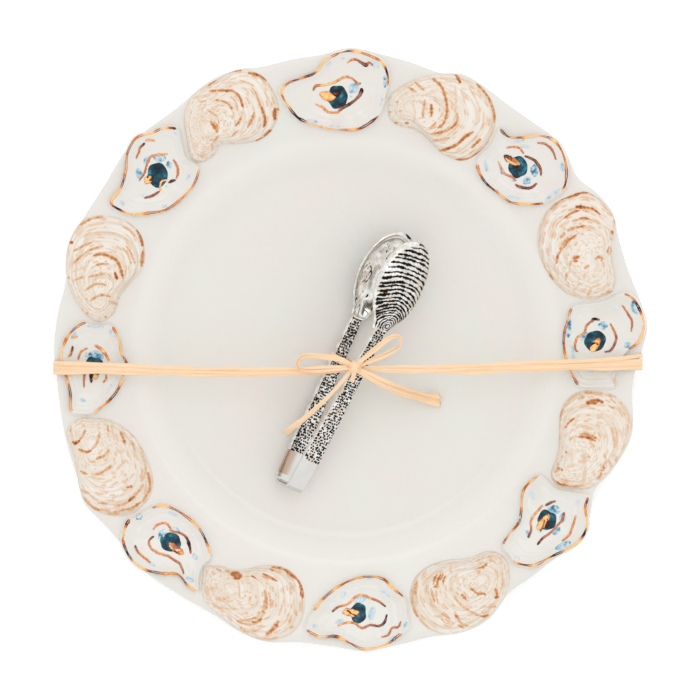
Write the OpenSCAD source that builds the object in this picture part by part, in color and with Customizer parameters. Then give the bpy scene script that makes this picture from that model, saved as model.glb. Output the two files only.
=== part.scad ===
// Oyster plate: a round ceramic platter whose rim carries a ring of oyster shells in relief,
// open shells and closed shells in turn. A pair of shell-bowled serving tongs lies across the
// well, leaning on one edge, and is tied there by a band of raffia that goes round the plate.
// +Z is up, +Y is the top of the plate as it is seen from above, and the origin is the centre
// of the foot ring, on the table.

/* [Plate] */
// Diameter of the plate over its edge, between shells
plate_d = 355; // [295:5:430]
// Thickness of the ceramic under the well
well_t = 5; // [4:0.5:8]
// Height of the rim's inner border over the floor of the well
well_depth = 8; // [6:0.5:12]
// Rise of the sloping rim from its inner border to the edge of the plate
rim_rise = 6; // [3:0.5:10]
// Thickness of the ceramic at the edge of the plate
edge_t = 4; // [3:0.5:6]
// Height of the foot ring
foot_h = 3; // [2:0.5:5]
// Width of the foot ring
foot_w = 6; // [4:0.5:10]

/* [Shells] */
// Height of the closed shells over the rim
dome_h = 8.5; // [5:0.5:12]
// Height of the growth steps on the closed shells
growth_h = 0.5; // [0:0.1:0.8]
// Height of the lip of the open shells over the rim
lip_h = 4.2; // [3:0.2:6]

/* [Tongs] */
// Length of the tongs from the bow to the tips of the bowls
tongs_l = 168; // [140:2:200]
// Width of the bent strip
strip_w = 12.2; // [9:0.2:14]
// Thickness of the bent strip
strip_t = 1.5; // [1:0.1:1.8]
// Distance between the legs of the strip, inside
bow_gap = 13.4; // [11:0.2:18]
// Radius of the strip's two corners, inside
corner_r = 2.6; // [1.5:0.1:4]
// Length of strip that shows between the corner and the cast shank
strip_show = 17; // [12:1:24]
// Length of strip that is brazed into the cast shank
strip_lap = 9; // [6:1:12]
// Thickness of the cast shanks
shank_t = 3; // [2.8:0.1:4]
// Width of the cast shanks beside the bow
shank_w = 12.6; // [10:0.2:14]
// Width of the cast shanks at the neck of the bowls
neck_w = 7.4; // [6:0.2:9]
// Length of the bowls
bowl_l = 59; // [50:1:70]
// Width of the bowls
bowl_w = 33; // [28:1:38]
// Depth of the bowls
bowl_h = 8; // [6:0.5:11]
// Thickness of the bowls
bowl_t = 1.6; // [1.2:0.1:2.4]
// Height of the growth ribs on the bowls
rib_h = 0.45; // [0:0.05:0.6]
// Angle that each arm spreads from the bow
spread = 3.5; // [2.5:0.1:4]
// Angle that the bowls turn in again from their arms
toe_in = 7.5; // [6:0.5:9]
// Angle that the tongs lean over from lying flat
lean = 55; // [50:1:60]

/* [Raffia] */
// Width of the band by the knot
band_w = 6; // [4:0.5:8]
// Width of the band at the edge of the plate
band_edge_w = 9; // [6:0.5:12]
// Thickness of the raffia
raffia_t = 0.4; // [0.3:0.05:0.6]
// Radius of the knot
knot_r = 3; // [2.5:0.1:4]

/* [Hidden] */

// Colours
glaze_white = [0.92, 0.90, 0.87];
glaze_cream = [0.90, 0.84, 0.77];
silver = [0.75, 0.74, 0.72];
straw = [0.98, 0.85, 0.68];

// The picture of the plate from above: its centre and its radius in picture units
centre_px = [347, 351];
radius_px = 296;
plate_r = plate_d / 2;
mm_per_px = plate_r / radius_px;

// A point of the picture as a point of the plate
function plan(p) = [(p[0] - centre_px[0]) * mm_per_px, (centre_px[1] - p[1]) * mm_per_px];

// A smooth closed line through a few points, as n points
function pull(a, b, c, d, t) = 0.5 * (2 * b + (c - a) * t + (2 * a - 5 * b + 4 * c - d) * t * t
    + (3 * b - a - 3 * c + d) * t * t * t);
function smooth_loop(pts, n) = [
    for (i = [0:n - 1])
        let (m = len(pts), s = i * m / n, k = floor(s))
        pull(pts[(k + m - 1) % m], pts[k], pts[(k + 1) % m], pts[(k + 2) % m], s - k)
];

// The edge of the plate, clockwise from the top left, in picture units
plate_edge_px = [
    [200, 88], [219, 76], [240, 69], [262, 67], [290, 60], [320, 55], [350, 48], [380, 54],
    [412, 63], [440, 73], [462, 74], [482, 85], [503, 101], [528, 119], [552, 136], [567, 155],
    [578, 178], [598, 194], [613, 214], [619, 240], [628, 270], [641, 303], [647, 326],
    [643, 347], [635, 372], [632, 395], [633, 422], [627, 446], [611, 472], [595, 490],
    [590, 516], [580, 543], [555, 559], [530, 578], [509, 593], [489, 619], [464, 632],
    [430, 637], [398, 645], [364, 651], [330, 646], [296, 642], [268, 642], [240, 632],
    [214, 615], [176, 593], [141, 569], [123, 546], [104, 524], [84, 503], [77, 477],
    [67, 444], [61, 412], [57, 380], [54, 348], [58, 314], [66, 281], [69, 244], [85, 216],
    [106, 183], [128, 147], [148, 129], [176, 109]
];

// The lips of the open shells, and the eye in the middle of each
open_px = [
    [[280, 92], [287, 83], [300, 78], [315, 72], [326, 59], [340, 52], [354, 50], [371, 55],
     [383, 62], [389, 76], [387, 93], [382, 112], [371, 123], [357, 130], [335, 130],
     [312, 125], [297, 118], [287, 106]],
    [[499, 129], [508, 136], [523, 137], [538, 135], [552, 138], [562, 149], [567, 165],
     [567, 181], [562, 192], [547, 203], [529, 205], [511, 203], [497, 193], [484, 182],
     [477, 168], [478, 157], [489, 147], [494, 138]],
    [[573, 306], [590, 303], [606, 300], [621, 293], [633, 297], [641, 310], [645, 325],
     [640, 341], [628, 351], [619, 364], [614, 378], [614, 387], [596, 388], [580, 387],
     [571, 374], [565, 358], [563, 338], [567, 320]],
    [[541, 475], [556, 488], [573, 492], [588, 495], [586, 508], [588, 525], [581, 540],
     [567, 550], [550, 558], [534, 566], [516, 564], [509, 556], [502, 547], [508, 535],
     [518, 523], [521, 507], [522, 492], [530, 481]],
    [[306, 630], [308, 619], [312, 612], [321, 600], [335, 588], [352, 579], [367, 576],
     [383, 578], [395, 589], [405, 598], [408, 613], [409, 628], [398, 637], [387, 645],
     [365, 650], [350, 644], [336, 637], [319, 637]],
    [[129, 519], [137, 516], [150, 508], [164, 505], [179, 511], [195, 523], [205, 537],
     [211, 557], [203, 566], [199, 578], [198, 591], [188, 586], [178, 575], [162, 574],
     [144, 570], [130, 559], [122, 541], [124, 528]],
    [[85, 322], [98, 326], [111, 325], [119, 338], [122, 353], [127, 363], [123, 379],
     [116, 394], [104, 406], [94, 413], [83, 415], [71, 412], [70, 395], [66, 377],
     [61, 366], [61, 352], [66, 338], [74, 328]],
    [[110, 203], [120, 188], [125, 171], [127, 152], [136, 137], [152, 132], [164, 127],
     [178, 129], [182, 143], [187, 158], [199, 167], [195, 184], [182, 199], [167, 210],
     [149, 214], [130, 215], [118, 210]]
];
open_eyes_px = [[340, 95], [518, 167], [596, 341], [547, 520],
                [361, 612], [170, 542], [94, 366], [157, 174]];

// The outlines of the closed shells, and the hinge point that each has grown out from
closed_px = [
    [[217, 80], [240, 70], [260, 75], [272, 89], [279, 108], [274, 127], [259, 140],
     [238, 144], [221, 145], [214, 156], [200, 163], [190, 156], [187, 141], [184, 122],
     [187, 104], [200, 90]],
    [[391, 94], [404, 85], [422, 77], [445, 74], [466, 78], [484, 90], [494, 108], [494, 128],
     [484, 147], [465, 160], [446, 156], [431, 142], [415, 130], [400, 126], [390, 119],
     [388, 106]],
    [[566, 198], [585, 192], [603, 203], [615, 221], [612, 240], [612, 258], [615, 272],
     [613, 290], [598, 298], [582, 299], [565, 292], [550, 277], [540, 257], [537, 236],
     [543, 217], [553, 205]],
    [[583, 391], [604, 392], [622, 402], [632, 421], [629, 441], [619, 459], [606, 476],
     [590, 488], [572, 489], [557, 485], [551, 474], [556, 458], [559, 440], [559, 421],
     [563, 405], [571, 396]],
    [[410, 598], [415, 578], [429, 566], [448, 560], [468, 558], [487, 551], [500, 554],
     [508, 564], [509, 582], [502, 601], [489, 616], [470, 628], [450, 634], [431, 630],
     [417, 617]],
    [[205, 567], [220, 566], [235, 570], [251, 568], [269, 565], [287, 569], [300, 582],
     [304, 600], [302, 619], [290, 634], [268, 641], [246, 634], [227, 621], [209, 606],
     [202, 593], [202, 579]],
    [[82, 418], [96, 418], [112, 421], [128, 430], [141, 446], [150, 465], [153, 484],
     [146, 502], [129, 515], [108, 515], [89, 505], [80, 489], [77, 470], [72, 450],
     [67, 435], [71, 424]],
    [[100, 215], [121, 219], [138, 231], [145, 250], [142, 269], [130, 283], [120, 297],
     [114, 313], [100, 322], [86, 315], [75, 299], [68, 282], [66, 263], [69, 244],
     [77, 228], [86, 219]]
];
closed_hinges_px = [[207, 130], [408, 108], [593, 264], [575, 460],
                    [484, 578], [228, 588], [90, 442], [99, 296]];

// Places and radii of the plate's own section
rim_inner_share = 0.716;
floor_share = 0.64;
foot_inset = 3;
rim_t = 5;
cut = 1;
wall_steps = 8;
edge_points = 189;
rim_r = plate_r * rim_inner_share;
floor_r = plate_r * floor_share;
foot_r = floor_r - foot_inset;
floor_z = foot_h + well_t;
rim_z = floor_z + well_depth;
slope = rim_rise / (plate_r - rim_r);
outer_share = 1.08;
outer_r = plate_r * outer_share;
relief_gap = 0.05;

// Height of the glazed rim at a point of the plan, and of the seat of a relief there
function rim_at(p) = rim_z + (norm(p) - rim_r) * slope;
function seat_at(p) = rim_at(p) + relief_gap;

// An easy S from 0 to 1, and from one point of the section to another
function s_curve(t) = t * t * (3 - 2 * t);
function ease(a, b, n) = [
    for (i = [0:n])
        let (t = i / n)
        [a[0] + (b[0] - a[0]) * t, a[1] + (b[1] - a[1]) * s_curve(t)]
];

// The raffia's seat under the foot, where it is pressed flat
seat_gap = 0.1;
seat_h = raffia_t + seat_gap;
seat_w = band_w + 2 * seat_gap;

module plate_body()
    color(glaze_white)
    difference() {
        intersection() {
            rotate_extrude($fn = 96)
                polygon(concat(
                    [[0, floor_z]],
                    ease([floor_r, floor_z], [rim_r, rim_z], wall_steps),
                    [[outer_r, rim_at([outer_r, 0])],
                     [outer_r, rim_at([outer_r, 0]) - edge_t]],
                    ease([rim_r, rim_z - rim_t], [foot_r, foot_h], wall_steps),
                    [[foot_r, 0], [foot_r - foot_w, 0], [foot_r - foot_w, foot_h],
                     [0, foot_h]]));
            linear_extrude(rim_at([outer_r, 0]) + cut)
                polygon([for (p = smooth_loop(plate_edge_px, edge_points)) plan(p)]);
        }
        translate([-foot_r - cut, band_under_y - seat_w / 2, -cut])
            cube([2 * (foot_r + cut), seat_w, seat_h + cut]);
    }

// Triangles from one ring of n points to the next and to a single point, for rings that run
// clockwise as seen from the side of the later ring
function band_faces(a, b, n) = [
    for (i = [0:n - 1])
        let (j = (i + 1) % n)
        each [[a + i, b + j, b + i], [a + i, a + j, b + j]]
];
function cap_faces(a, tip, n) = [for (i = [0:n - 1]) [a + i, a + (i + 1) % n, tip]];
function flipped(faces) = [for (f = faces) [f[2], f[1], f[0]]];

// A relief on the rim: rings drawn in from an outline towards a point, each at a height
module relief(outline, middle, shares, heights, top) {
    n = len(outline);
    rings = len(shares);
    points = concat(
        [for (k = [0:rings - 1], p = outline)
            let (q = middle + (p - middle) * shares[k])
            [q[0], q[1], seat_at(q) + heights[k]]],
        [[middle[0], middle[1], seat_at(middle) + top],
         [middle[0], middle[1], seat_at(middle)]]);
    polyhedron(points, concat(
        [for (k = [0:rings - 2]) each band_faces(k * n, (k + 1) * n, n)],
        cap_faces((rings - 1) * n, rings * n, n),
        flipped(cap_faces(0, rings * n + 1, n))));
}

// Open shell: a thin lip, a shallow dish inside it, and the scar of the muscle
lip_shares = [1, 0.985, 0.95, 0.9, 0.74, 0.44, 0.2];
lip_height_shares = [0, 0.86, 1, 0.76, 0.42, 0.3, 0.3];
scar_height_share = 0.18;
open_points = 28;

module open_shell(i)
    color(glaze_white)
    relief(
        [for (p = smooth_loop(open_px[i - 1], open_points)) plan(p)],
        plan(open_eyes_px[i - 1]),
        lip_shares, lip_height_shares * lip_h, scar_height_share * lip_h);

// Closed shell: a dome that steps up ring by ring towards the hinge point, as the shell grew,
// with a steep edge, and a beak that lies a little lower than the crown
growth_rings = 13;
closed_points = 28;
growth_angles = [for (k = [0:growth_rings - 1]) 90 * k / growth_rings];
edge_power_share = 0.62;
crown_power_share = 2.2;
beak_height_share = 0.72;
beak_reach_share = 0.4;
function dome_share(s) = pow(1 - pow(s, crown_power_share), edge_power_share)
    * (beak_height_share + (1 - beak_height_share) * s_curve(min(1, s / beak_reach_share)));

module closed_shell(i)
    color(glaze_cream)
    relief(
        [for (p = smooth_loop(closed_px[i - 1], closed_points)) plan(p)],
        plan(closed_hinges_px[i - 1]),
        [for (a = growth_angles) cos(a)],
        [for (k = [0:growth_rings - 1])
            dome_h * dome_share(cos(growth_angles[k])) + (k % 2) * growth_h],
        dome_h * beak_height_share);

// Outline of a bowl, heel first, as shares of its length and of half its width
bowl_shares = [
    [0, 0.24], [0.1, 0.42], [0.24, 0.72], [0.4, 0.93], [0.56, 1], [0.74, 0.92], [0.89, 0.66],
    [0.98, 0.24], [0.99, -0.2], [0.92, -0.62], [0.78, -0.88], [0.58, -1], [0.4, -0.97],
    [0.23, -0.8], [0.1, -0.48], [0, -0.24]
];
belly_share = 0.62;
heel_share = 0.2;
heel = [bowl_l * heel_share, 0];
bowl_points = 26;
rib_rings = 13;
hollow_rings = 5;
border = [for (p = smooth_loop(bowl_shares, bowl_points)) [p[0] * bowl_l, p[1] * bowl_w / 2]];

// Depth of a bowl at a share of the way in from its border, deeper towards its belly, and a
// ring of its surface there, drawn in by a second share
function bowl_y(share, x, depth) =
    depth * sin(acos(min(1, share))) * (1 - belly_share / 2 + belly_share * x / bowl_l);
function bowl_ring(share, depth, drawn_in) = [
    for (p = border)
        let (q = heel + (p - heel) * share * drawn_in)
            [q[0], -bowl_y(share, q[0], depth), q[1]]
];

// The tongs lie on the corner of the bow and on the belly of the lower bowl
bow_end_px = [287.5, 487.5];
heading = 63.7;
rest_gap = 0.3;
braze_gap = 0.1;
leg_y = (bow_gap + strip_t) / 2;
corner_y = bow_gap / 2 - corner_r;
corner_x = strip_t + corner_r;
mid_r = corner_r + strip_t / 2;
leg_away = [-sin(spread), -cos(spread)];
leg_along = [cos(spread), -sin(spread)];
hinge = [corner_x, -corner_y] + mid_r * leg_away;
neck_x = (tongs_l - hinge[0] - bowl_l * cos(toe_in - spread)) / cos(spread);
bow_drop = (bow_gap / 2 + strip_t) * sin(lean) + strip_w / 2 * cos(lean);
function on_arm(p) = turn_z([neck_x, shank_t / 2, 0] + turn_z(p, toe_in), -spread);
function belly_drop(p) = -(hinge[1] + p[1]) * sin(lean) - p[2] * cos(lean);
pitch = max([
    for (k = [0:rib_rings - 1], p = bowl_ring(cos(90 * k / rib_rings), bowl_h + rib_h, 1))
        asin((belly_drop(on_arm(p)) - bow_drop) / on_arm(p)[0])
]);
bow_place = concat(plan(bow_end_px), [floor_z + rest_gap + bow_drop - hinge[0] * sin(pitch)]);

module laid_down()
    translate(bow_place)
    rotate([0, 0, heading])
    rotate([0, -pitch, 0])
    rotate([-lean, 0, 0])
        children();

function turn_x(p, a) = [p[0], p[1] * cos(a) - p[2] * sin(a), p[1] * sin(a) + p[2] * cos(a)];
function turn_y(p, a) = [p[0] * cos(a) + p[2] * sin(a), p[1], p[2] * cos(a) - p[0] * sin(a)];
function turn_z(p, a) = [p[0] * cos(a) - p[1] * sin(a), p[0] * sin(a) + p[1] * cos(a), p[2]];
function laid(p) = bow_place + turn_z(turn_y(turn_x(p, -lean), -pitch), heading);

// Points along an arc in a plane
function arc(c, r, from, to, n) = [
    for (i = [0:n]) let (a = from + (to - from) * i / n) c + r * [cos(a), sin(a)]
];
function mirrored(pts) = [for (i = [len(pts) - 1:-1:0]) [pts[i][0], -pts[i][1]]];
function backwards(pts) = [for (i = [len(pts) - 1:-1:0]) pts[i]];

// The bow: one polished strip bent twice, so that its legs spring apart
corner_steps = 8;
leg_l = strip_show + strip_lap;
function bow_side(r) = concat(
    arc([corner_x, -corner_y], r, 180, 270 - spread, corner_steps),
    [[corner_x, -corner_y] + r * leg_away + leg_l * leg_along]);

module tongs_bow()
    color(silver)
    laid_down()
    translate([0, 0, -strip_w / 2])
    linear_extrude(strip_w)
        polygon(concat(
            mirrored(bow_side(corner_r + strip_t)),
            bow_side(corner_r + strip_t),
            backwards(bow_side(corner_r)),
            backwards(mirrored(bow_side(corner_r)))));

// A bowl, hollow side towards +Y: a ribbed back, a flat border and a smooth hollow
module bowl() {
    n = bowl_points;
    inner = 1 - bowl_t / (bowl_w / 2);
    back = [for (k = [0:rib_rings - 1])
        each bowl_ring(cos(90 * k / rib_rings), bowl_h + (k % 2) * rib_h, 1)];
    hollow = [for (k = [0:hollow_rings - 1])
        each bowl_ring(cos(90 * k / hollow_rings), bowl_h - bowl_t, inner)];
    ends = [[heel[0], -bowl_y(0, heel[0], bowl_h), 0],
            [heel[0], -bowl_y(0, heel[0], bowl_h - bowl_t), 0]];
    start = rib_rings * n;
    last = start + hollow_rings * n;
    polyhedron(concat(back, hollow, ends), concat(
        [for (k = [0:rib_rings - 2]) each band_faces(k * n, (k + 1) * n, n)],
        cap_faces(start - n, last, n),
        flipped([for (k = [0:hollow_rings - 2])
            each band_faces(start + k * n, start + (k + 1) * n, n)]),
        flipped(cap_faces(last - n, last + 1, n)),
        flipped(band_faces(0, start, n))));
}

// The shank's section has rounded long edges; it narrows to the neck and meets the heel
shank_stations = [0, 0.34, 0.67, 1];
shank_round_share = 0.28;
heel_overrun = 5;
function shank_section(w, t) = [
    [t / 2, w / 2 * (1 - shank_round_share)], [t / 2 * (1 - shank_round_share), w / 2],
    [-t / 2 * (1 - shank_round_share), w / 2], [-t / 2, w / 2 * (1 - shank_round_share)],
    [-t / 2, -w / 2 * (1 - shank_round_share)], [-t / 2 * (1 - shank_round_share), -w / 2],
    [t / 2 * (1 - shank_round_share), -w / 2], [t / 2, -w / 2 * (1 - shank_round_share)]
];

module shank() {
    length = neck_x + heel_overrun - strip_show;
    sides = len(shank_section(1, 1));
    count = len(shank_stations);
    points = [for (s = shank_stations, p = shank_section(shank_w + (neck_w - shank_w) * s, shank_t))
        [strip_show + length * s, p[0], p[1]]];
    polyhedron(points, concat(
        [[for (i = [0:sides - 1]) i]],
        flipped([for (k = [0:count - 2])
            each band_faces(k * sides, (k + 1) * sides, sides)]),
        [[for (i = [sides - 1:-1:0]) (count - 1) * sides + i]]));
}

// An arm in its own place: the hinge line at the origin, the bowl along +X, hollow to +Y
module arm() {
    difference() {
        shank();
        translate([0, -strip_t / 2 - braze_gap, -strip_w / 2 - braze_gap])
            cube([leg_l + braze_gap, strip_t + 2 * braze_gap, strip_w + 2 * braze_gap]);
    }
    translate([neck_x, shank_t / 2, 0])
    rotate([0, 0, toe_in])
        bowl();
}

module tongs_upper_arm()
    color(silver)
    laid_down()
    translate([hinge[0], hinge[1], 0])
    rotate([0, 0, -spread])
        arm();

module tongs_lower_arm()
    color(silver)
    laid_down()
    mirror([0, 1, 0])
    translate([hinge[0], hinge[1], 0])
    rotate([0, 0, -spread])
        arm();

// The tie goes round both shanks, tight on top, with slack beneath and a little at the side
tie_along_share = 0.76;
tie_x = hinge[0] + neck_x * tie_along_share;
tie_gap = 0.3;
tie_slack = 2;
tie_side_slack = 0.4;
tie_from = tie_x - band_w / 2;
tie_to = tie_x + band_w / 2;
tie_share = (tie_from - hinge[0] - strip_show) / (neck_x + heel_overrun - strip_show);
tie_y = leg_y + (tie_to - hinge[0]) * tan(spread) + shank_t / 2 + tie_gap;
tie_z = (shank_w + (neck_w - shank_w) * tie_share) / 2 + tie_gap;

function tie_loop(t) = [
    [-tie_y - t, tie_z], [-tie_y, tie_z + t],
    [tie_y, tie_z + t], [tie_y + tie_side_slack + t, tie_z - tie_side_slack],
    [tie_y + tie_side_slack + t, -tie_z], [tie_y, -tie_z - tie_slack - t],
    [-tie_y + tie_side_slack, -tie_z - tie_slack - t], [-tie_y - t, -tie_z]
];

module raffia_wrap()
    color(straw)
    laid_down()
    translate([tie_from, 0, 0])
    rotate([90, 0, 90])
    linear_extrude(band_w)
        difference() {
            polygon(tie_loop(raffia_t));
            polygon(tie_loop(0));
        }

// The knot sits on the upper corner of the tie
knot_lift = 1.9;
knot_at = laid([tie_x, -tie_y - raffia_t, tie_z + raffia_t]) + [0, 0, knot_lift];
knot_reach = 2;

module raffia_knot()
    color(straw)
    hull() {
        translate(knot_at - [knot_reach, 0, 0])
            sphere(knot_r - raffia_t, $fn = 16);
        translate(knot_at + [knot_reach, 0, 0])
            sphere(knot_r - raffia_t, $fn = 16);
        translate(knot_at + [0, 0, raffia_t])
            sphere(knot_r, $fn = 16);
    }

// The band, taut round the plate: over the lips of two open shells and under the foot
band_left_px = [54.3, 367];
lip_left_px = [62, 367];
lip_right_px = [625.3, 362];
band_right_px = [641.5, 362];
band_slack = 0.5;
band_under_knot = 1.2;
band_left = plan(band_left_px);
band_right = plan(band_right_px);
lip_left = plan(lip_left_px)[0];
lip_right = plan(lip_right_px)[0];
band_under_y = (band_left[1] + band_right[1]) / 2;
foot_edge = foot_r + band_slack;
function between(x, a, b) = a[1] + (b[1] - a[1]) * (x - a[0]) / (b[0] - a[0]);
function band_y(x) =
    x < knot_at[0] ? between(x, band_left, knot_at) : between(x, knot_at, band_right);
function band_over(x) = seat_at([x, 0]) + lip_h + band_slack;
function band_wide(x) =
    band_w + (band_edge_w - band_w) * max(0, (abs(x) - foot_edge) / (plate_r - foot_edge));

// Corners of the band's route in its upright plane, clockwise from the knot
band_route = [
    [knot_at[0], knot_at[2] - band_under_knot],
    [lip_right, band_over(lip_right)],
    [band_right[0] + band_slack, rim_at(band_right)],
    [band_right[0] + band_slack, rim_at(band_right) - edge_t],
    [band_right[0] - band_slack, rim_at(band_right) - edge_t - 2 * band_slack],
    [foot_edge, raffia_t / 2],
    [-foot_edge, raffia_t / 2],
    [band_left[0] + band_slack, rim_at(band_left) - edge_t - 2 * band_slack],
    [band_left[0] - band_slack, rim_at(band_left) - edge_t],
    [band_left[0] - band_slack, rim_at(band_left)],
    [lip_left, band_over(lip_left)]
];

function unit(v) = v / norm(v);
function is_under(p) = p[1] < floor_z && abs(p[0]) < foot_edge + cut;

module raffia_band() {
    n = len(band_route);
    points = [
        for (i = [0:n - 1])
            let (p = band_route[i],
                 a = unit(p - band_route[(i + n - 1) % n]),
                 b = unit(band_route[(i + 1) % n] - p),
                 t = unit(a + b),
                 out = [-t[1], t[0]] * raffia_t / 2,
                 y = is_under(p) ? band_under_y : band_y(p[0]),
                 w = band_wide(p[0]) / 2)
            each [[p[0] + out[0], y - w, p[1] + out[1]], [p[0] + out[0], y + w, p[1] + out[1]],
                  [p[0] - out[0], y + w, p[1] - out[1]], [p[0] - out[0], y - w, p[1] - out[1]]]
    ];
    color(straw)
        polyhedron(points, [
            for (i = [0:n - 1], k = [0:3])
                let (j = (i + 1) % n, m = (k + 1) % 4)
                each [[4 * i + k, 4 * i + m, 4 * j + m], [4 * i + k, 4 * j + m, 4 * j + k]]
        ]);
}

// A flat strand of raffia along a route that starts in the knot
strand_sides = 8;
module strand(route, width, end_width) {
    n = len(route);
    points = [
        for (i = [0:n - 1])
            let (a = route[max(0, i - 1)], b = route[min(n - 1, i + 1)],
                 along = unit(b - a),
                 side = unit(cross(along, [0, 0, 1])),
                 up = cross(side, along),
                 w = (width + (end_width - width) * i / (n - 1)) / 2)
            for (k = [0:strand_sides - 1])
                let (angle = 360 * k / strand_sides)
                knot_at + route[i] + side * w * cos(angle) + up * raffia_t * sin(angle)
    ];
    color(straw)
        polyhedron(points, concat(
            [[for (k = [strand_sides - 1:-1:0]) k]],
            [for (i = [0:n - 2])
                each band_faces(i * strand_sides, (i + 1) * strand_sides, strand_sides)],
            [[for (k = [0:strand_sides - 1]) (n - 1) * strand_sides + k]]));
}

// Routes of the bow's loops and tails from the middle of the knot, in millimetres
loop_left_route = [[-1, 0.6, 1.4], [-7, 4, 1.4], [-14, 5.5, 1], [-22, 6.5, 0.4], [-29, 6.6, 0],
    [-33, 5, -0.3], [-34.5, 1.5, -0.8], [-32, -1.2, -1.2], [-26, -1.6, -1.2], [-18, -1.2, -0.8],
    [-10, -0.6, -0.2], [-2.5, -0.3, 0.4]];
loop_right_route = [[1, 0.6, 1.4], [5, 4.5, 1.6], [11, 9.5, 2], [17, 14.5, 2], [22, 18, 1.5],
    [26, 18.5, 0.8], [28, 15.5, 0.2], [27, 11.5, 0], [22, 8.5, 0], [15, 5.5, 0.2],
    [8, 2.6, 0.4], [2.5, 0.3, 0.4]];
tail_left_route = [[-1, -1, -0.5], [-5.5, -6, -0.9], [-11, -12.5, -3.5], [-18, -20, -8.2],
    [-25, -26.5, -11.6], [-31.5, -32, -14.2], [-37.5, -36.5, -19], [-41, -40, -25.4]];
tail_right_route = [[1.5, -1.4, -0.5], [8, -4.6, -0.8], [15, -8.4, -3], [23, -12, -8.5],
    [31, -15, -16], [38, -17, -23], [44, -18.5, -28], [51, -19.5, -30.6]];

loop_w = 3.4;
tail_left_ends = [2.6, 5];
tail_right_ends = [3.4, 7.5];

module raffia_loop_left() strand(loop_left_route, loop_w, loop_w);
module raffia_loop_right() strand(loop_right_route, loop_w, loop_w);
module raffia_tail_left() strand(tail_left_route, tail_left_ends[0], tail_left_ends[1]);
module raffia_tail_right() strand(tail_right_route, tail_right_ends[0], tail_right_ends[1]);

plate_body();
open_shell(1);  // open_shell_1
open_shell(2);  // open_shell_2
open_shell(3);  // open_shell_3
open_shell(4);  // open_shell_4
open_shell(5);  // open_shell_5
open_shell(6);  // open_shell_6
open_shell(7);  // open_shell_7
open_shell(8);  // open_shell_8
closed_shell(1);  // closed_shell_1
closed_shell(2);  // closed_shell_2
closed_shell(3);  // closed_shell_3
closed_shell(4);  // closed_shell_4
closed_shell(5);  // closed_shell_5
closed_shell(6);  // closed_shell_6
closed_shell(7);  // closed_shell_7
closed_shell(8);  // closed_shell_8
tongs_bow();
tongs_upper_arm();
tongs_lower_arm();
raffia_band();
raffia_wrap();
raffia_knot();
raffia_loop_left();
raffia_loop_right();
raffia_tail_left();
raffia_tail_right();
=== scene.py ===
import math

import bmesh
import bpy
import numpy as np
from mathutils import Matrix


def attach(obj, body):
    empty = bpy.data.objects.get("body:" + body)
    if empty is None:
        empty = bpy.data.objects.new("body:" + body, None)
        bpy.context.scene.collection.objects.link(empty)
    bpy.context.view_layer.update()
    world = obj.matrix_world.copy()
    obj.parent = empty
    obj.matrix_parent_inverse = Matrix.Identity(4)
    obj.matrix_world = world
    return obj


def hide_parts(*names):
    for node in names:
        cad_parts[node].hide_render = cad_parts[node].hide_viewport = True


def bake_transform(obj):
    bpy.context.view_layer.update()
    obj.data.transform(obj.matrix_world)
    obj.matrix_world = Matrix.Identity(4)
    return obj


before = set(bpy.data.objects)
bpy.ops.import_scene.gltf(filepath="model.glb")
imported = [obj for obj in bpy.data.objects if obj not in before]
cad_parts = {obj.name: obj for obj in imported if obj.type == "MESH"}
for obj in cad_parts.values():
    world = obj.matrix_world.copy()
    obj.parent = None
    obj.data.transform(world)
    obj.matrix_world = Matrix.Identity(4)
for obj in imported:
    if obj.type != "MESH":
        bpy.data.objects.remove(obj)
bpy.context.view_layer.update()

scene = bpy.context.scene

# Studio: a white table seen straight from above. The light is a soft even sky and one broad
# window, which stands over the top of the picture.
MM = 0.001
picture_px = 700
centre_px = np.array([347.0, 351.0])
radius_px = 296
plate_d = 355
mm_per_px = plate_d / 2 / radius_px
camera_height = 1.5
white = (1, 1, 1, 1)
sky_strength = 1.0
window_size = 1.2
window_place = (0.1, 0.8, 2.1)
window_watts = 3
table_size = 6.0
table_gap = 0.0003
table_glow = 0.42
table_white = (0.8, 0.8, 0.8, 1)


def plan(points_px):
    """Picture points as points of the plate seen from above, in millimetres."""
    p = np.asarray(points_px, float)
    return np.stack([p[..., 0] - centre_px[0], centre_px[1] - p[..., 1]], -1) * mm_per_px


def node(tree, kind, inputs=None, **settings):
    """A shader node with its settings, its inputs set to values or joined to other outputs."""
    made = tree.nodes.new(kind)
    for key, value in settings.items():
        setattr(made, key, value)
    for key, value in (inputs or {}).items():
        if isinstance(value, bpy.types.NodeSocket):
            tree.links.new(value, made.inputs[key])
        else:
            made.inputs[key].default_value = value
    return made


def reckon(tree, operation, *values):
    """The result of a maths node over two or three values."""
    return node(tree, "ShaderNodeMath", dict(enumerate(values)), operation=operation).outputs[0]


def seen_straight(tree):
    """1 where the camera, a reflection or a refraction looks, and 0 for the light on objects."""
    path = node(tree, "ShaderNodeLightPath")
    seen = reckon(tree, "MAXIMUM", path.outputs["Is Camera Ray"], path.outputs["Is Glossy Ray"])
    return reckon(tree, "MAXIMUM", seen, path.outputs["Is Transmission Ray"])


camera = bpy.data.objects.new("camera", bpy.data.cameras.new("camera"))
camera.data.type = "ORTHO"
camera.data.ortho_scale = picture_px * mm_per_px * MM
camera_x, camera_y = plan([picture_px / 2, picture_px / 2]) * MM
camera.location = (camera_x, camera_y, camera_height)
scene.collection.objects.link(camera)
scene.camera = camera

window = bpy.data.objects.new("window", bpy.data.lights.new("window", "AREA"))
window.data.shape = "SQUARE"
window.data.size = window_size
window.data.energy = window_watts
window.location = window_place
window.rotation_euler = (-math.atan2(window_place[1], window_place[2]), 0, 0)
scene.collection.objects.link(window)

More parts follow.
